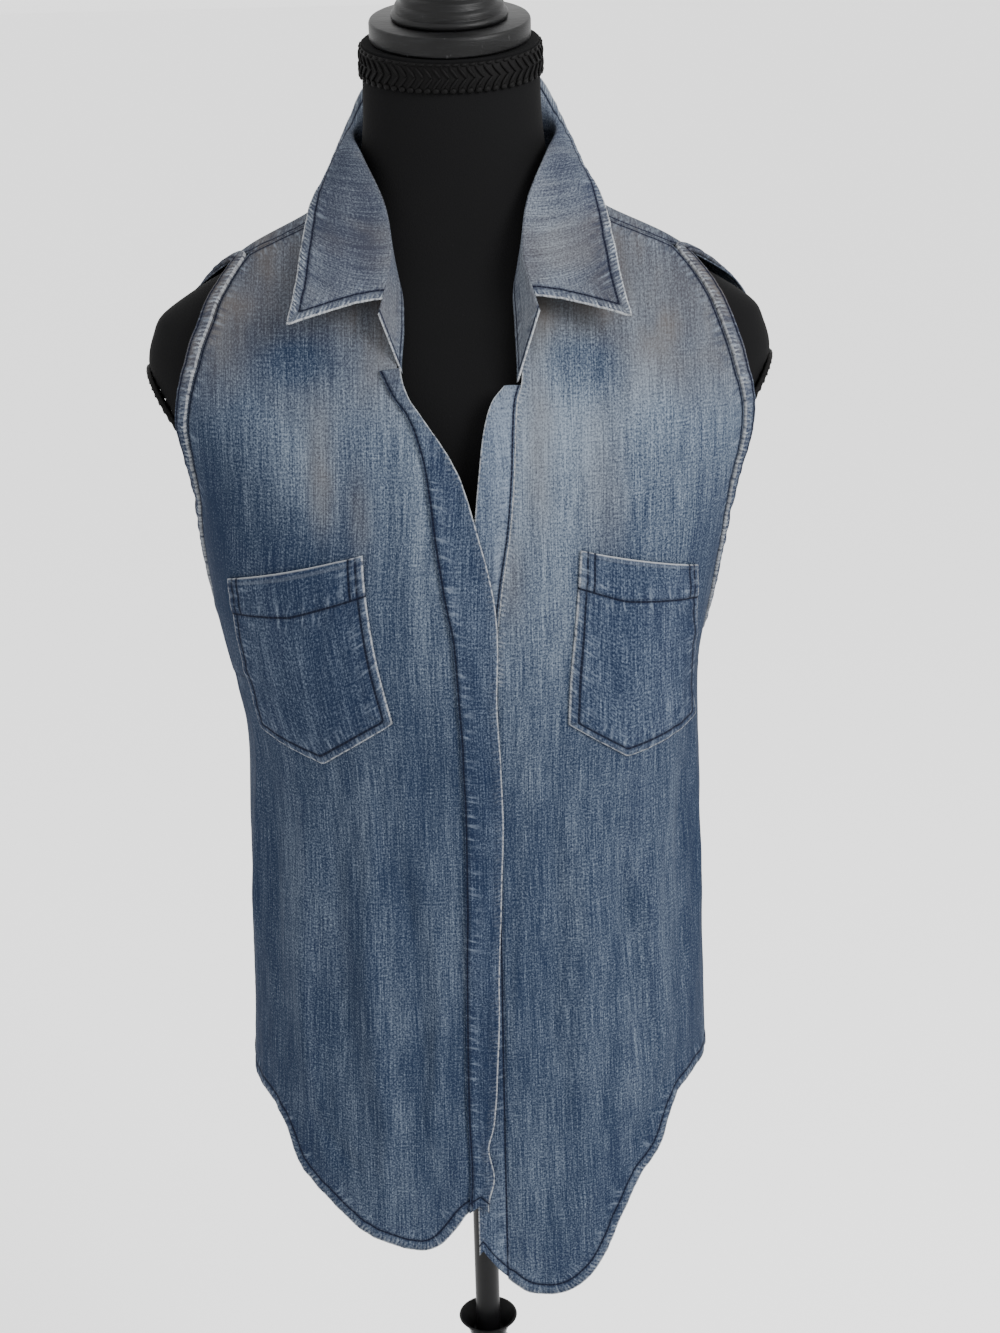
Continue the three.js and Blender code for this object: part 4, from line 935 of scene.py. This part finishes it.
# Dress form and stand
def form_point(angle, z, out=0.0):
    half, front, back, power, tilt = (table(FORM, z, c) for c in (1, 2, 3, 4, 5))
    s, c = np.sin(angle * RAD), np.cos(angle * RAD)
    depth = np.where(c > 0, front, back) + out
    r = ((np.abs(s) / (half + out)) ** power + (np.abs(c) / depth) ** power) ** (-1 / power)
    x, y = r * s, -r * c
    limit = PLATE_X - (PLATE_Z - z) * PLATE_SLOPE
    x = np.where((z > PLATE_FOOT) & (z < PLATE_HEAD), np.sign(x) * np.minimum(np.abs(x), limit), x)
    return np.stack([x, y, z + tilt * y], -1)


def closed(name, rings, material, node):
    """A solid from a stack of rings (levels, around, xyz) in mm, capped at both ends."""
    levels, n = rings.shape[:2]
    v = np.concatenate([rings.reshape(-1, 3), rings[0].mean(0)[None], rings[-1].mean(0)[None]])
    idx = np.arange(levels * n).reshape(levels, n)
    nxt = np.roll(idx, -1, 1)
    quads = np.stack([idx[:-1], nxt[:-1], nxt[1:], idx[1:]], -1).reshape(-1, 4).tolist()
    low, high = levels * n, levels * n + 1
    tris = [[low, int(b), int(a)] for a, b in zip(idx[0], nxt[0])]
    tris += [[high, int(a), int(b)] for a, b in zip(idx[-1], nxt[-1])]
    o = add_mesh(name, v, quads + tris, material)
    o.modifiers.new("sharp_edges", "EDGE_SPLIT").split_angle = 0.75
    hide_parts(node)
    return o


def turned(name, profile, material, node, tilt=0.0, z0=0.0, around=96):
    """A turned solid from radii and levels, leaning forward by tilt about z0."""
    rings = []
    a = np.linspace(0, 2 * math.pi, around, endpoint=False)
    lean = math.atan(tilt)
    for r, z in profile:
        h = z - z0
        y = -r * np.cos(a)
        rings.append(np.stack([r * np.sin(a), y * math.cos(lean) - h * math.sin(lean),
                               z0 + y * math.sin(lean) + h * math.cos(lean)], -1))
    return closed(name, np.array(rings), material, node)


def strokes(name, items, material):
    """Many small stitches of thick thread: each item is centre, long direction, side direction, sizes."""
    verts, faces = [], []
    around, along_n = 8, 6
    for c, d, w, (l, a, b) in items:
        d, w = d / np.linalg.norm(d), w / np.linalg.norm(w)
        h = np.cross(d, w)
        start = len(verts)
        for i in range(along_n + 1):
            t = -1 + 2 * i / along_n
            k = math.sqrt(max(1 - t * t, 0.02))
            for j in range(around):
                g = 2 * math.pi * j / around
                verts.append(c + d * l * t + w * (a * k * math.cos(g)) + h * (b * k * math.sin(g)))
        for i in range(along_n):
            for j in range(around):
                p, q = start + i * around + j, start + i * around + (j + 1) % around
                faces.append([p, q, q + around, p + around])
        faces.append([start + j for j in reversed(range(around))])
        faces.append([start + along_n * around + j for j in range(around)])
    return add_mesh(name, verts, faces, material)


def build_form():
    jersey_mat, braid_mat, wood_mat, metal_mat = jersey(), braid_look(), wood_look(), metal_look()
    z = np.concatenate([[650, 650.6, 651.5, 653, 656, 660], np.linspace(668, 1105, 60),
                        np.linspace(1108, 1240, 56), np.linspace(1244, 1401, 60)])
    a = np.concatenate([np.linspace(0, 50, 18, False), np.linspace(50, 130, 50, False),
                        np.linspace(130, 230, 36, False), np.linspace(230, 310, 50, False),
                        np.linspace(310, 360, 18, False)])
    aa, zz = np.meshgrid(a, z)
    closed("torso_jersey", form_point(aa, zz, -0.05), jersey_mat, "form_torso")

    # Neck braid: a ribbon with two rows of slanting cords and a looped lower edge
    n = 150
    ring = np.linspace(0, 360, n, endpoint=False)
    rows = np.array([1381.6, 1383, 1390.5, 1398, 1399.4])
    aa, zz = np.meshgrid(ring, rows)
    outer = form_point(aa, zz, np.array([0.9, 1.3, 1.4, 1.3, 0.9])[:, None] + 0 * aa)
    inner = form_point(aa, zz, GAP + 0.1)
    band = make("neck_braid", inner, outer, braid_mat, {}, True, "braid")
    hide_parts("neck_trim")

    def at(angle, z, out):
        return form_point(np.array(angle), np.array(z), out)

    small = ((2.0, 1382.2, 1.6, (2.3, 1.9, 1.1)), (4.0, 1398.4, 1.5, (2.2, 1.2, 0.9)))
    items, count = [], 58
    for i in range(count):
        g = 360 * i / count
        for z0, lift, slope in ((1386.6, 1.9, 1), (1393.6, 1.9, -1)):
            p0, p1 = at(g, z0 - 3.2 * slope, lift), at(g + 5.6, z0 + 3.2 * slope, lift)
            up = at(g + 2.7, z0, lift + 1) - at(g + 2.7, z0, lift)
            side = np.cross(p1 - p0, up)
            items.append(((p0 + p1) / 2, p1 - p0, side, (4.6, 1.05, 1.0)))
        for turn, z0, lift, sizes in small:
            q = at(g + turn, z0, lift)
            items.append((q, at(g + turn + 1, z0, lift) - q, np.array([0, 0, 1.0]), sizes))
    strokes("neck_braid_cords", items, braid_mat)

    # Arm-plate braids
    for side, name in ((-1, "plate_trim_right"), (1, "plate_trim_left")):
        k = math.hypot(PLATE_SLOPE, 1)
        down, out = np.array([-PLATE_SLOPE, 0, -1]) / k, np.array([1, 0, -PLATE_SLOPE]) / k
        centre = np.array([PLATE_X - (PLATE_Z - 1158) * PLATE_SLOPE, -2, 1158])
        flip = np.array([side, 1, 1])

        def rim(angle, scale, off):
            p = (centre + np.multiply.outer(50 * scale * np.cos(angle), down)
                 + np.multiply.outer(45 * scale * np.sin(angle), np.array([0, 1.0, 0]))
                 + np.multiply.outer(off + 0 * angle, out))
            return p * flip

        g = np.linspace(0, 2 * math.pi, 120, endpoint=False)
        path = [(0.865, 0.4), (0.865, 3.4), (0.9, 4.0), (0.96, 4.0), (0.992, 3.4), (0.992, 0.4)]
        outer = np.array([rim(g, s, o) for s, o in path])
        inner = np.array([rim(g, 0.87 + 0.118 * i / 5, 0.35) for i in range(6)])
        o = make(name + "_braid", inner, outer, braid_mat, {}, True, "braid")
        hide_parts(name)
        items, count = [], 44
        for i in range(count):
            g0 = 2 * math.pi * i / count
            for s0, s1, o0, o1 in ((0.885, 0.955, 4.1, 4.2), (0.985, 0.985, 3.4, 0.9)):
                p0, p1 = rim(np.array(g0), s0, o0), rim(np.array(g0 + 0.13), s1, o1)
                items.append(((p0 + p1) / 2, p1 - p0, out * flip, (3.9, 0.8, 0.9)))
        strokes(name + "_cords", items, braid_mat)

    # Turned parts: radius and level, for cap and finial from the cap's top
    cap = [
        (50, -12.7), (50.8, -12.6), (51.4, -12), (51.7, -11.2), (51.7, -2), (51.4, -1), (50.9, -0.3),
        (50.2, 0),
    ]
    finial = [
        (36.6, 0.3), (37.2, 0.8), (37.5, 2), (37.4, 3.6), (36.4, 4.6), (35.2, 5.2), (35, 6), (35, 8.2),
        (34.2, 9.6), (32.2, 10.4), (31.5, 11.4), (31.5, 13.8), (30.6, 15.2), (28.2, 15.9),
        (27.5, 16.8), (27.1, 18.4), (24, 20.2), (17.4, 22), (14.2, 24), (13, 26), (13.3, 28),
        (14.5, 30), (17, 33), (19, 36), (20.2, 39), (20.5, 42), (20, 45.4), (18.5, 48.5), (16, 51),
        (12.5, 53), (9, 54.4), (5, 55.2),
    ]
    for name, node, rows in (("neck_cap_wood", "neck_cap", cap), ("finial_wood", "finial", finial)):
        turned(name, [(r, CAP_Z + z) for r, z in rows], wood_mat, node, TILT, CAP_Z)
    pole = [(9.2, 416.3), (9.5, 416.6), (9.5, 649.4), (9.2, 649.7)]
    hub = [
        (23.6, 84), (24, 84.6), (24, 330), (23, 337), (22.2, 342), (22, 346), (22.8, 352), (24.4, 360),
        (25.6, 367), (26, 373), (26, 382), (25.6, 388), (24.2, 394), (20.4, 400), (16, 406),
        (14.4, 409), (14, 412), (15, 416.6), (17, 421.6), (20, 426), (23, 429.6), (22.8, 430),
        (21.5, 430), (17, 422.5), (12, 416),
    ]
    base = [
        (187, 0), (188.6, 0.7), (189.8, 2), (190, 3.4), (190, 15), (189.2, 18.4), (186.6, 21.4),
        (182, 23.8), (150, 26.6), (120, 29.2), (90, 32), (72, 35.6), (56, 40), (44, 45), (36, 52.4),
        (31.6, 62), (29.6, 73), (29, 83.7),
    ]
    for name, node, rows, around in (("pole_tube", "pole", pole, 64), ("hub_casting", "hub", hub, 72),
                                     ("base_casting", "base", base, 144)):
        turned(name, rows, metal_mat, node, around=around)


# Scene
denim_mat = denim("washed_denim", srgb(28, 43, 68), srgb(142, 155, 170), ribs=0.5)
deep_mat = denim("deep_denim", srgb(25, 40, 66), srgb(138, 152, 170), worn=0.66, ribs=0.18)
band_mat = denim("band_denim", srgb(24, 36, 60), srgb(140, 152, 168), worn=0.45, ribs=0.75)
collar_mat = denim("collar_denim", srgb(30, 44, 70), srgb(146, 157, 170), worn=0.9, ribs=1.0)
cloth_made = build_cloth(denim_mat, deep_mat, band_mat, collar_mat)
build_form()

# Floor and light
bpy.ops.mesh.primitive_plane_add(size=160, location=(0, 0, 0))
floor = bpy.context.object
floor.name = "floor"
floor.data.materials.append(Nodes("pale_floor").done((0.95, 0.95, 0.95, 1.0), 0.9, 0.1))

world = bpy.data.worlds.new("studio")
bpy.context.scene.world = world
world.use_nodes = True
world.node_tree.nodes["Background"].inputs[0].default_value = (1.0, 1.0, 1.0, 1.0)
world.node_tree.nodes["Background"].inputs[1].default_value = 1.95


def lamp(name, place, target, size, power):
    data = bpy.data.lights.new(name, "AREA")
    data.shape = "RECTANGLE"
    data.size, data.size_y = size
    data.energy = power
    o = bpy.data.objects.new(name, data)
    o.location = place
    o.rotation_mode = "QUATERNION"
    o.rotation_quaternion = (Vector(target) - Vector(place)).to_track_quat("-Z", "Y")
    bpy.context.scene.collection.objects.link(o)


lamp("key", (1.7, -1.5, 2.3), (0, 0, 1.0), (1.0, 1.3), 105)
lamp("fill", (-2.0, -1.5, 1.4), (0, 0, 0.9), (1.6, 2.0), 12)

# The photo's camera: focal length and height in pixels, degrees down and degrees rolled
FOCAL, PHOTO_HEIGHT, DOWN_BY, ROLLED_BY = 2000, 1333, 19.4, 1.4
camera = bpy.data.cameras.new("camera")
camera.sensor_width = 36
camera.lens = FOCAL * 36 / PHOTO_HEIGHT
eye = bpy.data.objects.new("camera", camera)
bpy.context.scene.collection.objects.link(eye)
eye.location = (0.022, -1.334, 1.4466)
eye.rotation_mode = "XYZ"
pitch = Matrix.Rotation(math.radians(90 - DOWN_BY), 4, "X")
roll = Matrix.Rotation(math.radians(-ROLLED_BY), 4, "Z")
eye.rotation_euler = (pitch @ roll).to_euler("XYZ")
bpy.context.scene.camera = eye
